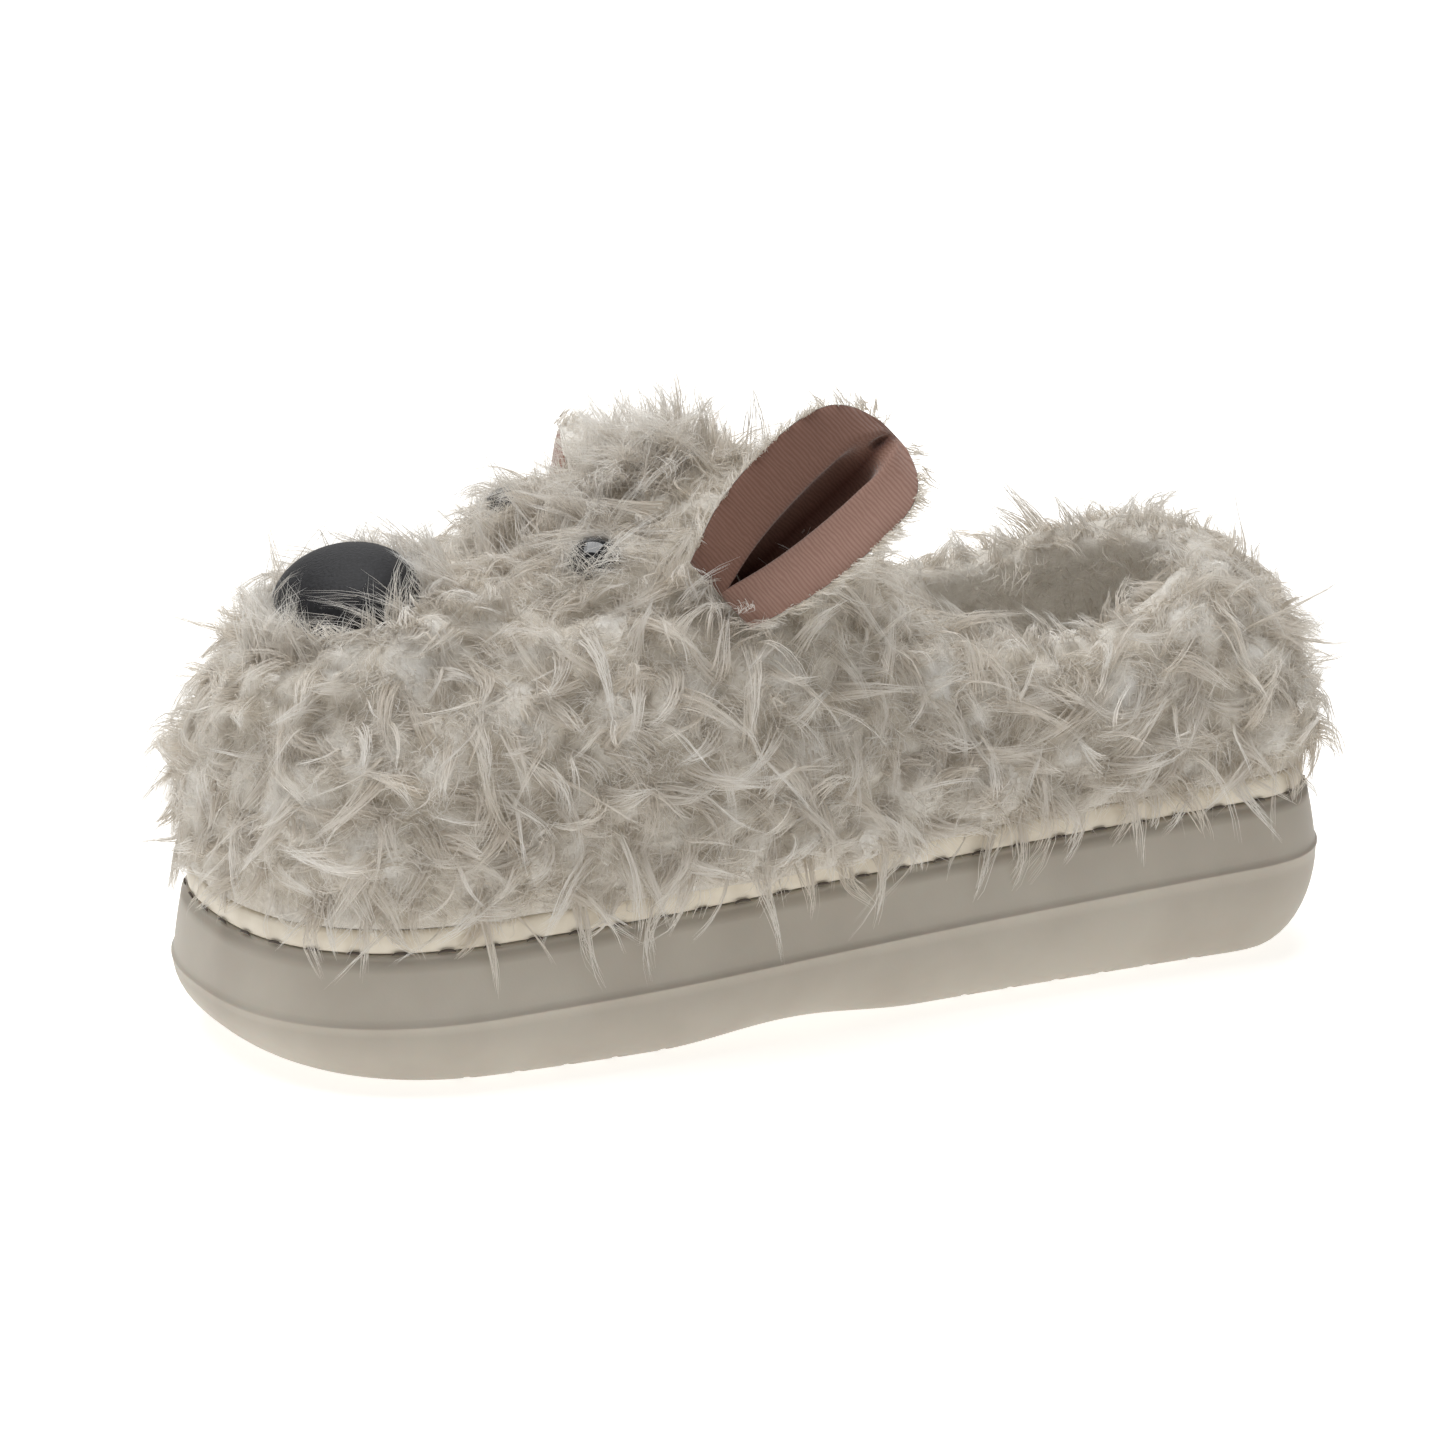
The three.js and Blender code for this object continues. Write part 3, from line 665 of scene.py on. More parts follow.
def upper_rings():
    behind_welt = WELT_INSET + WELT_THICKNESS + GAP
    foot = lambda y: rim_z(y) + GAP
    rings = [plan_ring(SKIN_INSET + WALL, foot), plan_ring(behind_welt, foot),
             plan_ring(behind_welt, lambda y: rim_z(y) + WELT_HEIGHT + 2 * GAP)]
    rings += [WOOL[:, k] for k in range(UP + 1)]
    rings += [crest_ring(math.radians(turn)) for turn in range(18, 180, 18)]
    rings += [INNER[:, k] for k in range(UP, -1, -3)]
    return rings


rings = upper_rings()
even = np.full(AROUND, 0.6)
# The swell mark carries the lumps' height to the wool's colour, where it sets the painted shade
# between them
swell = [even] * 3 + [LUMPS[:, k] for k in range(UP + 1)] + [even] * (len(rings) - UP - 4)
bm = loft(rings, closes=True, marks={"swell": swell})
finish_piece(bm, "upper_shell", woolly, ["upper"])

# %% [markdown]
# A strip of smooth coated cloth, the welt, is wrapped round the foot of the upper and sewn down
# to the rim of the sole. Its edges are turned in, so they are round.

# %% Welt
coated = mottled("smooth_coated_cloth", [(0.3, "#d9cfbd"), (0.7, "#e8e0d0")], 5, 5, 0.25, 0.0006,
                 Roughness=0.42, Specular_IOR_Level=0.4)


def welt_rings():
    rings = []
    middle_inset = WELT_INSET + WELT_THICKNESS / 2 - 0.2
    for turn in np.radians(np.arange(0, 360, 24)):
        side, rise = math.cos(turn), math.sin(turn)
        inset = middle_inset - WELT_THICKNESS / 2 * math.copysign(abs(side) ** 0.6, side)
        climb = WELT_HEIGHT / 2 * (1 + math.copysign(abs(rise) ** 0.6, rise))
        rings.append(plan_ring(inset + 0.25 * climb / WELT_HEIGHT,
                               lambda y, climb=climb: rim_z(y) + GAP + climb))
    return rings


finish_piece(loft(welt_rings(), closes=True), "welt_strip", coated, ["welt"])

# %% [markdown]
# The dark thread shows as a row of short, separate stitches in the crease between strip and
# sole. Each is a small rod whose ends dip into the cloth.

# %% Stitches
thread, _ = start_material("waxed_dark_thread", Roughness=0.6, Base_Color=colour("#4b423a"))
STITCH_PITCH, STITCH_LENGTH, THREAD_RADIUS = 10.3, 4.2, 0.33


def stitch_points():
    seam = plan_ring(WELT_INSET - 0.55, lambda y: rim_z(y) + GAP + 0.35)
    seam = np.vstack([seam, seam[:1]])
    lengths = lengths_of(seam)
    count = round(lengths[-1] / STITCH_PITCH)
    for n in range(count):
        start = (n + 0.5) * lengths[-1] / count
        yield points_at(seam, lengths, start + np.linspace(-0.5, 0.5, 7) * STITCH_LENGTH)


def add_rod(bm, points, radii, sides=6):
    """A rounded rod along a few points, with a radius at each of them."""
    row = bmesh.ops.create_circle(bm, segments=sides, radius=1)["verts"]
    first = edges = list({edge for vert in row for edge in vert.link_edges})
    ahead = np.gradient(points, axis=0)
    for k, (point, radius, way) in enumerate(zip(points, radii, ahead)):
        if k:
            row, edges = grow(bm, row, edges)
        across = Vector(way).cross(Vector((0, 0, 1))).normalized()
        other = across.cross(Vector(way)).normalized()
        for n, vert in enumerate(row):
            turn = 2 * math.pi * n / sides
            vert.co = Vector(point) + (across * math.cos(turn) + other * math.sin(turn)) * radius
    bmesh.ops.contextual_create(bm, geom=first)
    bmesh.ops.contextual_create(bm, geom=edges)


bm = bmesh.new()
for points in stitch_points():
    ends = np.abs(np.linspace(-1, 1, len(points))) ** 4
    add_rod(bm, points + ends[:, None] * (0, 0, -0.5), THREAD_RADIUS * np.sqrt(1.02 - ends))
bmesh.ops.recalc_face_normals(bm, faces=bm.faces)
finish_piece(bm, "welt_stitches", thread)

# %% [markdown]
# The insole is a foam pad covered in the same brushed cloth as the lining. It is a cushion, so
# its top swells a little and its edge is rolled.

# %% Insole
INSOLE_INSET, INSOLE_THICKNESS = TRAY_INSET + 1.3, 7.5


def insole_rings():
    under = lambda y: tray_z(y) + GAP
    edge = INSOLE_THICKNESS * 0.45
    rings = []
    for turn in np.radians(np.linspace(-90, 90, 11)):
        inset = INSOLE_INSET + edge * (1 - math.cos(turn))
        level = INSOLE_THICKNESS / 2 + (INSOLE_THICKNESS / 2) * math.sin(turn)
        rings.append(plan_ring(inset, lambda y, level=level: under(y) + level))
    for share in (0.8, 0.6, 0.4, 0.2, 0.05):
        ring = plan_ring(INSOLE_INSET + edge, lambda y: under(y) + INSOLE_THICKNESS)
        ring[:, 0] *= share
        ring[:, 2] += 0.8 * (1 - share**2)
        rings.append(ring)
    return rings


insole = finish_piece(loft(insole_rings()), "insole_pad", brushed, ["insole"])

# %% [markdown]
# The face follows the photograph: a large black nose on the toes and two small eyes that the
# curls nearly hide. Nose and eyes are domed buttons that sink into the fur to their sides.

# %% Nose and eyes


def frame_at(origin, direction, towards):
    """A placement whose z axis points in a direction, with y turned towards another."""
    z = Vector(direction).normalized()
    x = Vector(towards).cross(z).normalized()
    turned = Matrix((x, z.cross(x), z)).transposed().to_4x4()
    return Matrix.Translation(Vector(origin)) @ turned


NOSE_SIZE, NOSE_PROUD = (40, 34, 25), 16.5
EYE_SIZE, EYE_PROUD = (13, 13, 13), 8
fleece = mottled("black_short_fleece", [(0.35, "#0e0e10"), (0.75, "#232327")], 0.8, 5, 0.5,
                 0.0004, Roughness=0.6, Sheen_Weight=0.08, Sheen_Roughness=0.4,
                 Specular_IOR_Level=0.3)
glass, _ = start_material("polished_black_resin", Base_Color=colour("#0c0c0f"), Roughness=0.08,
                          Coat_Weight=0.6, Coat_Roughness=0.05)


def dome(name, seat, size, proud, material, replaces, power):
    """A button: an oval cushion with a fuller shoulder than a ball has, sunk in the fur."""
    point, normal = seat
    centre = point + normal * (proud - size[2] / 2)
    bm = bmesh.new()
    bmesh.ops.create_uvsphere(bm, u_segments=48, v_segments=28, radius=1)
    for vert in bm.verts:
        x, y, z = vert.co
        flat = math.hypot(x, y)
        fuller = (1 - abs(z) ** power) ** (1 / power) / flat if flat > 1e-6 else 1
        vert.co = Vector((x * fuller * size[0], y * fuller * size[1], z * size[2])) / 2
    bmesh.ops.transform(bm, matrix=frame_at(centre, normal, (0, 1, 0)), verts=bm.verts)
    return finish_piece(bm, name, material, replaces)


dome("nose_button", SEATS["nose"], NOSE_SIZE, NOSE_PROUD, fleece, ["nose"], 2.15)
for side in ("left", "right"):
    dome("eye_button_" + side, SEATS[side], EYE_SIZE, EYE_PROUD, glass, ["eye_" + side], 2)

# %% [markdown]
# The ears are leaves of two cloths, plush behind and ribbed velour in front, stuffed a little and
# pinched together along their middle, so that a deep fold runs between two full lips. The left
# ear stands and the right one flops back. Each is lofted along its length, finely enough for the
# lips to roll over at the edge.

# %% Velour finish
EAR_LENGTH, EAR_WIDTH, EAR_DEPTH, EAR_BACK, EAR_LIP = 52.5, 27, 17, 3.2, 7.5
velour, shader = start_material("ribbed_velour", Roughness=0.9, Sheen_Weight=0.4,
                                Sheen_Roughness=0.45, Specular_IOR_Level=0.15)
along = add(velour, "Attribute", {"attribute_name": "along"})
across = add(velour, "Attribute", {"attribute_name": "across"})
fold = add(velour, "Math", {"operation": "ABSOLUTE"}, links={0: (across, "Fac")})
aside = add(velour, "Math", {"operation": "MULTIPLY"}, {1: EAR_WIDTH / 2}, {0: (across, "Fac")})
leaf_place = add(velour, "CombineXYZ", links={"X": (along, "Fac"), "Y": (aside, "Value")})
RIB_PITCH = 0.85
PITCH_AT_SCALE_1 = 0.314
ribs = add(velour, "TexWave", {"wave_type": "BANDS", "bands_direction": "X",
                               "wave_profile": "SIN"},
           {"Scale": PITCH_AT_SCALE_1 / RIB_PITCH, "Distortion": 6.0, "Detail": 4,
            "Detail Scale": 1.2},
           {"Vector": (leaf_place, "Vector")})
# Partly own colour, partly painted shade: the ramp gives the velour its dusty pink and darkens it
# towards the middle of the fold, where |across| is low
shade = ramp(velour, [(0.0, "#5c3b31"), (0.3, "#846558"), (1.0, "#9f7f73")], fold, "Value")
worn = ramp(velour, [(0.2, "#e4dcd8"), (0.8, "#ffffff")], ribs)
ribbed = multiply(velour, 0.8, (shade, "Color"), (worn, "Color"))
# Painted shade: the upper lip, where across nears +1, is made darker than the lower one
painted_lip_shade = ramp(velour, [(0.0, "#ffffff"), (1.0, "#cfc4bf")], across)
mixed = multiply(velour, 1.0, (ribbed, "Result"), (painted_lip_shade, "Color"))
join(velour, shader, mixed, "Result")
emboss(velour, shader, ribs, 0.3, 0.0005)

# %% Ears
EAR_WRAP = math.radians(72)
EAR_EDGE_BACK = 2.6
EAR_WIDE = [(0, 0.55), (0.25, 0.86), (0.5, 1), (0.75, 1.0), (0.88, 0.88), (0.96, 0.62), (1, 0.3)]
EAR_DEEP = [(0, 0.5), (0.25, 0.9), (0.5, 1), (0.75, 0.85), (0.92, 0.55), (1, 0.25)]
EAR_STATIONS = np.concatenate([np.linspace(0, 0.88, 24), 0.88 + 0.12 * np.sin(
    np.radians(np.linspace(8, 90, 12)))])
EAR_ACROSS = np.sin(np.radians(np.linspace(-90, 90, 45)))


def leaf_places(at, across, level):
    """Points of a folded leaf, at shares of its length and width and a level over its sheet."""
    half = EAR_WIDTH / 2 * from_table(EAR_WIDE, at) / math.sin(EAR_WRAP)
    cup = EAR_DEPTH * from_table(EAR_DEEP, at) / (1 - math.cos(EAR_WRAP))
    turn = EAR_WRAP * across
    normal = unit(np.stack([-cup * np.sin(turn), half * np.cos(turn)], -1))
    flat = np.stack([half * np.sin(turn), cup * (1 - np.cos(turn))], -1) + normal * level[:, None]
    return np.column_stack([flat, at * EAR_LENGTH]), np.column_stack([normal, 0 * at])


def front_of(across, share):
    """The velour's front: low in the fold, with a full lip that rolls over at the edge. Near the
    tip the fold ends and the two lips meet."""
    v = np.abs(across)
    lip = 0.12 + 0.88 * smoothstep(0.2, 0.7, v)
    lip = lip + (0.85 - lip) * smoothstep(0.74, 0.9, share)
    rolled = np.sqrt(np.maximum(0, 1 - np.maximum(0, (v - 0.64) / 0.36) ** 2))
    pinch = 3 * np.exp(-((across - 0.2) / 0.16) ** 2 - ((share - 0.94) / 0.05) ** 2)
    return EAR_LIP * lip * rolled - EAR_EDGE_BACK * smoothstep(0.7, 1, v) - pinch


def seam_of(across, share):
    """Where velour and plush meet: on the sheet, and behind it at the edges."""
    return -EAR_EDGE_BACK * smoothstep(0.7, 1, np.abs(across))


def leaf_piece(name, side, low_of, high_of, material, replaces):
    turned = frame_at(*EARS[side])
    rings, along = [], []
    for share in EAR_STATIONS:
        close = math.sqrt(max(0.03, 1 - max(0, (share - 0.88) / 0.12) ** 2))
        at = np.full(len(EAR_ACROSS), share)
        low = low_of(EAR_ACROSS, share) * close
        high = np.maximum(high_of(EAR_ACROSS, share) * close, low + 0.05)
        under, over = (leaf_places(at, EAR_ACROSS, level)[0] for level in (low, high))
        rings.append([turned @ Vector(p) for p in np.vstack([under, over[::-1]])])
        along.append(np.full(2 * len(EAR_ACROSS), share * EAR_LENGTH))
    across = [np.concatenate([EAR_ACROSS, EAR_ACROSS[::-1]])] * len(rings)
    bm = loft(rings, marks={"along": along, "across": across})
    return finish_piece(bm, name, material, replaces)


for side in ("left", "right"):
    leaf_piece("ear_plush_" + side, side,
               lambda v, _: -EAR_BACK + 0.4 * np.abs(v) ** 6,
               lambda v, share: seam_of(v, share) - GAP, brushed, ["ear_" + side])
    leaf_piece("ear_velour_" + side, side, seam_of, front_of, velour,
               ["ear_lining_" + side])

# %% [markdown]
# The fur is long, wavy pile that has clumped into locks with pointed tips. It is made as flat
# tapered strands, about twenty to a lock, that leave the skin side by side and draw together
# towards one tip. Their colour is painted darker towards the root, as shade deep in the fur, and
# brightens to the tip; half of the light passes through them, and a faint painted glow in their
# own colour lifts them out of their shade.

# %% Strand finish
hair, shader = start_material("curly_faux_fur", Roughness=0.7, Specular_IOR_Level=0.2,
                              Emission_Strength=HAIR_PAINTED_GLOW)
shares = add(hair, "Attribute", {"attribute_name": "strand"})
split = add(hair, "SeparateColor", links={"Color": (shares, "Color")})
# Painted shade and highlight: the strands are darker at the root, as shade deep in the fur, and
# lighter to the tip
root_to_tip = ramp(hair, [(0.0, "#d9d3c9"), (0.45, "#e6e2dc"), (1.0, "#f5f4f1")], split, "Red")
tint = ramp(hair, [(0.0, "#f1ece5"), (1.0, "#ffffff")], split, "Green")
mixed = multiply(hair, 0.7, (root_to_tip, "Color"), (tint, "Color"))
join(hair, shader, mixed, "Result")
# Painted glow: the strands give off a little light in their own colour
join(hair, shader, mixed, "Result", "Emission Color")
through = add(hair, "BsdfTranslucent", links={"Color": (mixed, "Result")})
both = add(hair, "MixShader", values={"Fac": 0.5},
           links={1: (shader, "BSDF"), 2: (through, "BSDF")})
join(hair, hair.node_tree.nodes["Material Output"], both, "Shader", "Surface")

# %% [markdown]
# Locks are sown over a skin. It is cut into patches of equal area, and one lock stands at a
# random place in each, so that no spot is bare or crowded.

# %% Skins


class Skin:
    """A grid of points round the upper, on which places can be sown evenly by area."""

    def __init__(self, grid, normals):
        self.grid, self.normals = grid, normals
        self.steps = grid.shape[1] - 1
        cell = norm(np.cross(np.roll(grid, -1, 0)[:, :-1] - grid[:, :-1],
                                       grid[:, 1:] - grid[:, :-1]), axis=-1)
        self.area, self.shares = cell.sum(), (cell / cell.sum()).ravel()

    def sow(self, count):
        """One place in each of many patches of equal area, about as wide as they are high."""
        cells = np.arange(len(self.shares))
        columns = max(1, round(math.sqrt(self.area / count) * AROUND / GIRTH))
        patches = np.lexsort((cells, cells % self.steps, cells // self.steps // columns))
        picks = (np.arange(count) + rng.random(count)) / count
        cell = patches[np.searchsorted(np.cumsum(self.shares[patches])[:-1], picks)]
        i, k = cell // self.steps, cell % self.steps
        fu, fv = rng.random((2, count, 1))
        j = (i + 1) % len(self.grid)

        def blend(grid):
            return ((grid[i, k] * (1 - fu) + grid[j, k] * fu) * (1 - fv)
                    + (grid[i, k + 1] * (1 - fu) + grid[j, k + 1] * fu) * fv)

        return (i + fu[:, 0]) / len(self.grid), blend(self.grid), unit(blend(self.normals))


wool_skin = Skin(WOOL[:, 1:-1], (OUTER_NORMALS + 0.5 * WOOL_NORMALS)[:, 1:-1])
foot_skin = Skin(WOOL[:, 2:10], OUTER_NORMALS[:, 2:10])
edge = np.stack([crest_ring(math.radians(turn)) for turn in range(0, 181, 30)], 1)
crest_skin = Skin(edge[:, :5], grid_normals(edge)[:, :5])
lining = np.concatenate([edge, INNER[:, UP - 3:UP // 3:-3]], 1)
lining_skin = Skin(lining, grid_normals(lining))
print("fur", round(wool_skin.area / 100), "cm2, lining", round(lining_skin.area / 100), "cm2")


# %% [markdown]
# A lock's spine leaves the skin at a tilt, leans over with the lie of the fur, hooks aside, waves
# and sags. Its strands start round the spine's foot, follow it with a curl of their own, and
# gather towards its tip.

# %% Locks
FALL = (0, -0.35, -1.0)
SAG, TIP_WIDTH, NARROWING = 0.1, 0.07, 0.93


def laid_on(normal, way):
    """A direction made to lie on the skin."""
    return unit(way - normal * (way * normal).sum(-1, keepdims=True))


def falling(normal, stray):
    """The way the fur lies: down and a little to the toe, turned aside by some angle."""
    flow = laid_on(normal, np.tile(FALL, (len(normal), 1)))
    side = np.cross(normal, flow)
    return unit(flow * np.cos(stray)[:, None] + side * np.sin(stray)[:, None])


def between(low, high, count):
    return rng.uniform(low, high, count)[:, None, None]


def locks_at(place, normal, style, flow=None):
    """Strands of the locks that stand at some places: centre lines, half widths and tones."""
    count, points = len(place), style["points"]
    if flow is None:
        flow = falling(normal, rng.normal(0, style["stray"], count))
    side = np.cross(normal, flow)
    n, f, s = (v[:, None, :] for v in (normal, flow, side))
    t = np.linspace(0, 1, points)[None, :, None]
    tall = np.broadcast_to(style["length"], count)[:, None, None] * between(0.7, 1.25, count)
    lean, tilt = between(*style["lean"], count), between(*style["tilt"], count)
    hook = rng.normal(0, style["hook"], count)[:, None, None]
    spine = (n * (np.sin(tilt + lean * t) - np.sin(tilt)) / lean
             + f * (np.cos(tilt) - np.cos(tilt + lean * t)) / lean + s * hook * t**2) * tall
    wave, start = style["wave"] * between(0.5, 1.3, count), between(0, 2 * math.pi, count)
    bend = start + 2 * math.pi * between(0.5, 0.9, count) * t
    spine = spine + wave * t**0.7 * (s * np.cos(bend) + f * np.sin(bend)
                                     + n * 0.5 * np.cos(bend + 1))
    spine = spine - np.array([0, 0, 1.0]) * t**2 * tall * SAG
    owner = np.repeat(np.arange(count), style["per_lock"])
    total = len(owner)
    reach = np.sqrt(rng.random(total)) * style["spread"]
    angle = rng.uniform(0, 2 * math.pi, total)
    offset = (side[owner] * (reach * np.cos(angle))[:, None]
              + flow[owner] * (reach * np.sin(angle))[:, None])[:, None, :]
    own, gather = between(*style["shorter"], total), between(*style["gather"], total)
    curl = style["curl"] * between(0.4, 1.3, total) * t**0.7
    phase, turns = between(0, 2 * math.pi, total), between(*style["turns"], total)
    spin = phase + 2 * math.pi * turns * t
    line = (place[owner][:, None, :] - n[owner] + spine[owner] * own
            + offset * (1 - gather * t ** style["taper"])
            + curl * (s[owner] * np.cos(spin) + f[owner] * np.sin(spin)
                      + n[owner] * 0.6 * np.sin(spin + 1)))
    along = unit(np.gradient(line, axis=1))
    across = unit(np.cross(along, n[owner] + 1e-4))
    twist = rng.normal(0, 0.6, total)[:, None, None]
    across = across * np.cos(twist) + np.cross(along, across) * np.sin(twist)
    wide = style["width"] * between(0.6, 1.3, total) * ((1 - t**2) * NARROWING + TIP_WIDTH)
    return line, across * wide / 2, rng.random(count)[owner]


# %% [markdown]
# All strands of a stretch of the skin are one mesh, because there are tens of thousands. Each is
# two rows of points with a quad between each pair of steps.

# %% Strand meshes


def strand_mesh(name, made):
    line, half, tone = (np.concatenate(parts) for parts in zip(*made))
    count, points = line.shape[:2]
    verts = np.stack([line - half, line + half], 2).reshape(-1, 3)
    base = (np.arange(count) * points * 2)[:, None]
    step = np.arange(points - 1) * 2
    quads = np.stack([base + step, base + step + 1, base + step + 3, base + step + 2], -1)
    mesh = bpy.data.meshes.new(name)
    mesh.vertices.add(len(verts))
    mesh.vertices.foreach_set("co", to_frame(verts).astype(np.float32).ravel())
    mesh.loops.add(quads.size)
    mesh.loops.foreach_set("vertex_index", quads.ravel().astype(np.int32))
    mesh.polygons.add(quads.size // 4)
    mesh.polygons.foreach_set("loop_start", np.arange(0, quads.size, 4, dtype=np.int32))
    mesh.update(calc_edges=True)
    shade = mesh.attributes.new("strand", "FLOAT_COLOR", "POINT")
    values = np.ones((count, points, 2, 4), np.float32)
    values[..., 0] = np.linspace(0, 1, points)[None, :, None]
    values[..., 1] = tone[:, None, None]
    shade.data.foreach_set("color", values.ravel())
    dress(name, mesh, hair)
    print(name, count, "strands", count * (points - 1) * 2, "triangles")


# %% [markdown]
# Fuzz is short and curls on itself, and makes the soft body of the fur. Tufts stand out of it,
# longer and waved, and thin wisps furthest. A fringe hangs over the welt, a short crest stands on
# the collar's edge, and the lining has a fuzz of its own. The hair is shorter round nose and
# eyes and at both ends of the slipper, and none grows through the ears.

# %% Fur
STRETCHES = [("toe", 0.86, 1.14), ("outer_side", 0.14, 0.33), ("outer_heel", 0.33, 0.5),
             ("inner_heel", 0.5, 0.67), ("inner_side", 0.67, 0.86)]


def clear_of_ears(place, room):
    kept = np.ones(len(place), bool)
    for base, lean, _ in EARS.values():
        start, way = np.array(base), np.array(lean) / norm(lean)
        for share in np.linspace(0, 0.5, 4):
            kept &= norm(place - start - way * EAR_LENGTH * share, axis=1) > room
    return kept


def shorter_near(place, length, at, room, least):
    gap = norm(place - at, axis=1)
    return length * (1 - (1 - least) * np.exp(-((gap / room) ** 2)))


def sown(skin, count, length):
    around, place, normal = skin.sow(count)
    kept = clear_of_ears(place, 11) & (norm(place - SEATS["nose"][0], axis=1) > 15)
    around, place, normal = around[kept], place[kept], normal[kept]
    tall = shorter_near(place, np.full(len(place), length), SEATS["nose"][0], 30, 0.7)
    share = share_along(place[:, 1])
    tall *= 1 - END_TRIM * (smoothstep(0.12, 0, share) + smoothstep(0.88, 1, share))
    for side in ("left", "right"):
        tall = shorter_near(place, tall, SEATS[side][0], 14, 0.75)
    return around, place, normal, tall


FUZZ = dict(points=4, per_lock=18, spread=4.6, length=7.2, tilt=(0, 1.0), lean=(0.3, 1.6),
            stray=2.5, curl=1.8, turns=(0.3, 0.9), gather=(0.0, 0.5), taper=1, shorter=(0.5, 1.1),
            width=0.26, hook=0.6, wave=0)
TUFTS = dict(points=7, per_lock=24, spread=3.2, length=17, tilt=(0.1, 0.9), lean=(0.7, 1.8),
             stray=1.3, curl=0.7, turns=(0.3, 0.9), gather=(0.8, 1.0), taper=1.3,
             shorter=(0.6, 1.0), width=0.3, hook=0.5, wave=2.2)
WISPS = dict(TUFTS, points=8, per_lock=6, spread=0.9, length=21, tilt=(0, 0.6),
             lean=(0.4, 1.2), stray=1.2, curl=0.5, turns=(0.2, 0.6), taper=1,
             shorter=(0.75, 1.0), width=0.24, wave=2)
FRINGE = dict(TUFTS, length=19, tilt=(0.5, 1.0), lean=(0.3, 0.9), stray=0.5, spread=2.4)
CREST = dict(TUFTS, points=6, per_lock=16, spread=2.4, length=10, tilt=(0, 0.5), lean=(0.3, 1.2),
             stray=3, wave=1.4)
END_TRIM = 0.3
EVERYWHERE = [("all", 0, 1)]
for kind, skin, count, style, stretches in (
        ("fuzz", wool_skin, 3000, FUZZ, STRETCHES), ("tufts", wool_skin, 880, TUFTS, STRETCHES),
        ("wisps", wool_skin, 400, WISPS, EVERYWHERE),
        ("fringe", foot_skin, 60, FRINGE, EVERYWHERE),
        ("crest", crest_skin, 170, CREST, EVERYWHERE),
        ("lining_fuzz", lining_skin, 620, dict(FUZZ, length=7, per_lock=15, tilt=(0, 0.4)),
         EVERYWHERE)):
    around, place, normal, tall = sown(skin, count, style["length"])
    for name, low, high in stretches:
        inside = ((around - low) % 1) <= high - low
        made = locks_at(place[inside], normal[inside], dict(style, length=tall[inside]))
        strand_mesh(f"{kind}_{name}", [made])

# %% [markdown]
# The ears' backs are covered in the same plush, cut short, and it shows as a pale fringe round
# the velour.

# %% Fringe of the ears
SHORT = dict(FUZZ, points=5, per_lock=12, spread=2.2, length=5, stray=0.6, curl=0.8,
             gather=(0.2, 0.8), width=0.3, hook=0.3)
made = []
for side in ("left", "right"):
    count = 260
    at = rng.uniform(0.06, 1, count)
    across = np.sin(rng.uniform(-math.pi / 2, math.pi / 2, count))
    place, normal = leaf_places(at, across, np.full(count, -EAR_BACK))
    turned = frame_at(*EARS[side])
    place = np.array([turned @ Vector(p) for p in place])
    normal = np.array([-(turned.to_3x3() @ Vector(p)) for p in normal])
    outward = np.array([turned.to_3x3() @ Vector((v, 0, 0.6)) for v in np.sign(across)])
    made.append(locks_at(place, normal, SHORT, laid_on(normal, outward)))
strand_mesh("ear_fringe", made)

# %% [markdown]
# Fine hairs from beside the nose and the eyes lie across them, so that they look half buried.

# %% Hair over nose and eyes


def over(seat, inner, outer, count, style):
    """Locks in a ring round a button, leaning over it."""
    point, normal = SEATS[seat]
    turned = np.array(frame_at(point, normal, (0, 1, 0)).to_3x3())
    angle, reach = rng.uniform(0, 2 * math.pi, count), rng.uniform(inner, outer, count)
    ring = np.stack([np.cos(angle), np.sin(angle), 0 * angle], 1) @ turned.T
    normals = np.broadcast_to(normal, (count, 3))
    flow = laid_on(normals, unit(-ring + rng.normal(0, 0.35, (count, 3))))
    return locks_at(point + ring * reach[:, None], normals, style, flow)


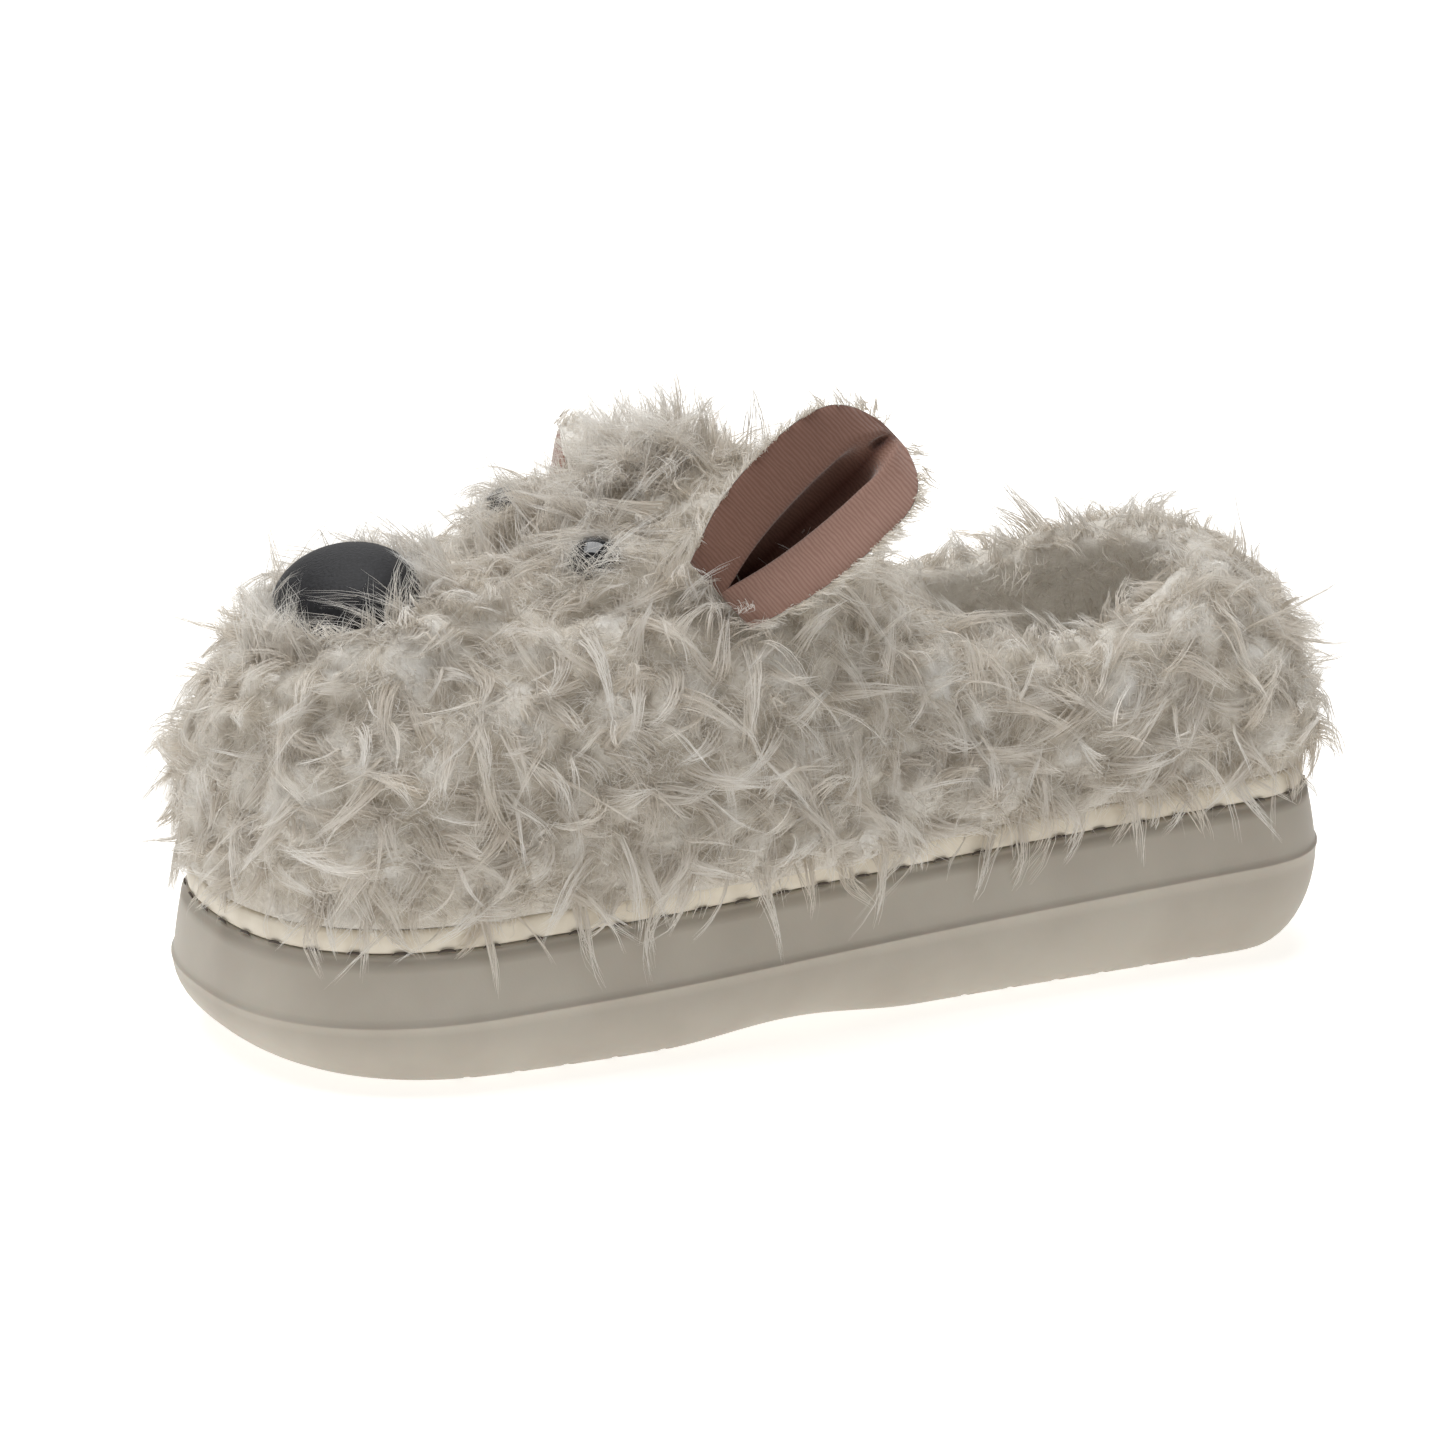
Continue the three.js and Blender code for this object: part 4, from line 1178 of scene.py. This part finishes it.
MUZZLE = dict(FUZZ, points=6, per_lock=18, spread=2.6, length=14, tilt=(0, 0.2), lean=(0.2, 1.1),
              curl=1.2, width=0.26, gather=(0.3, 0.9), shorter=(0.5, 1.1), wave=1)
WHISKERS = dict(MUZZLE, length=19, lean=(0.1, 0.7))
LASHES = dict(MUZZLE, lean=(0.8, 1.6))
made = [over("nose", 17, 24, 110, MUZZLE), over("nose", 17, 26, 110, WHISKERS),
        over("left", 4, 10, 72, LASHES), over("right", 4, 11, 90, LASHES)]

# %% [markdown]
# The forehead's hair is the longest: a fluff that stands out all round, upright tufts in it, and
# a few tufts set one by one, two on the crown and the rest round the left ear's foot.

# %% Hair of the forehead
FLUFF = dict(MUZZLE, per_lock=34, spread=5, length=15, curl=2.2, width=0.24)
TOPKNOT = dict(TUFTS, points=6, length=19, tilt=(0, 0.3), lean=(0.2, 0.8), per_lock=20, hook=0.3)
UPRIGHT = 40
SET_TUFTS = ((2, -12, (0, 0.1, 1), 27), (8, -2, (0.1, 0.35, 1), 29), (45, -34, (0.6, 0, 1), 15),
             (49, -29, (0.7, 0.1, 1), 15), (52, -22, (0.8, 0.2, 1), 13),
             (41, -33, (0.5, 0, 1), 13), (37, -35, (0.4, -0.1, 1), 13),
             (44, -30, (0.5, 0, 1), 12), (48, -26, (0.6, 0.1, 1), 12),
             (39, -30, (0.4, -0.1, 1), 12))
count = 84
spot = rng.normal(0, 1, (count, 2)) * (9, 15) + (-2, FOREHEAD_Y - 16)
seats = [seat_over(*at) for at in spot]
place, normals = (np.array(column) for column in zip(*seats))
normals = unit(normals + (0, 0, 0.8))
flow = unit(np.cross(normals, rng.normal(0, 1, (count, 3))))
made.append(locks_at(place, normals, FLUFF, flow))
made.append(locks_at(place[:UPRIGHT], normals[:UPRIGHT], TOPKNOT, flow[:UPRIGHT]))
for x, y, towards, length in SET_TUFTS:
    point, _ = seat_over(x, y)
    normals = np.tile(unit(np.array(towards, float)), (2, 1))
    flow = unit(np.cross(normals, rng.normal(0, 1, (2, 3))))
    place = point + rng.normal(0, 1.5, (2, 3))
    made.append(locks_at(place, normals, dict(TOPKNOT, length=length), flow))
strand_mesh("face_hair", made)
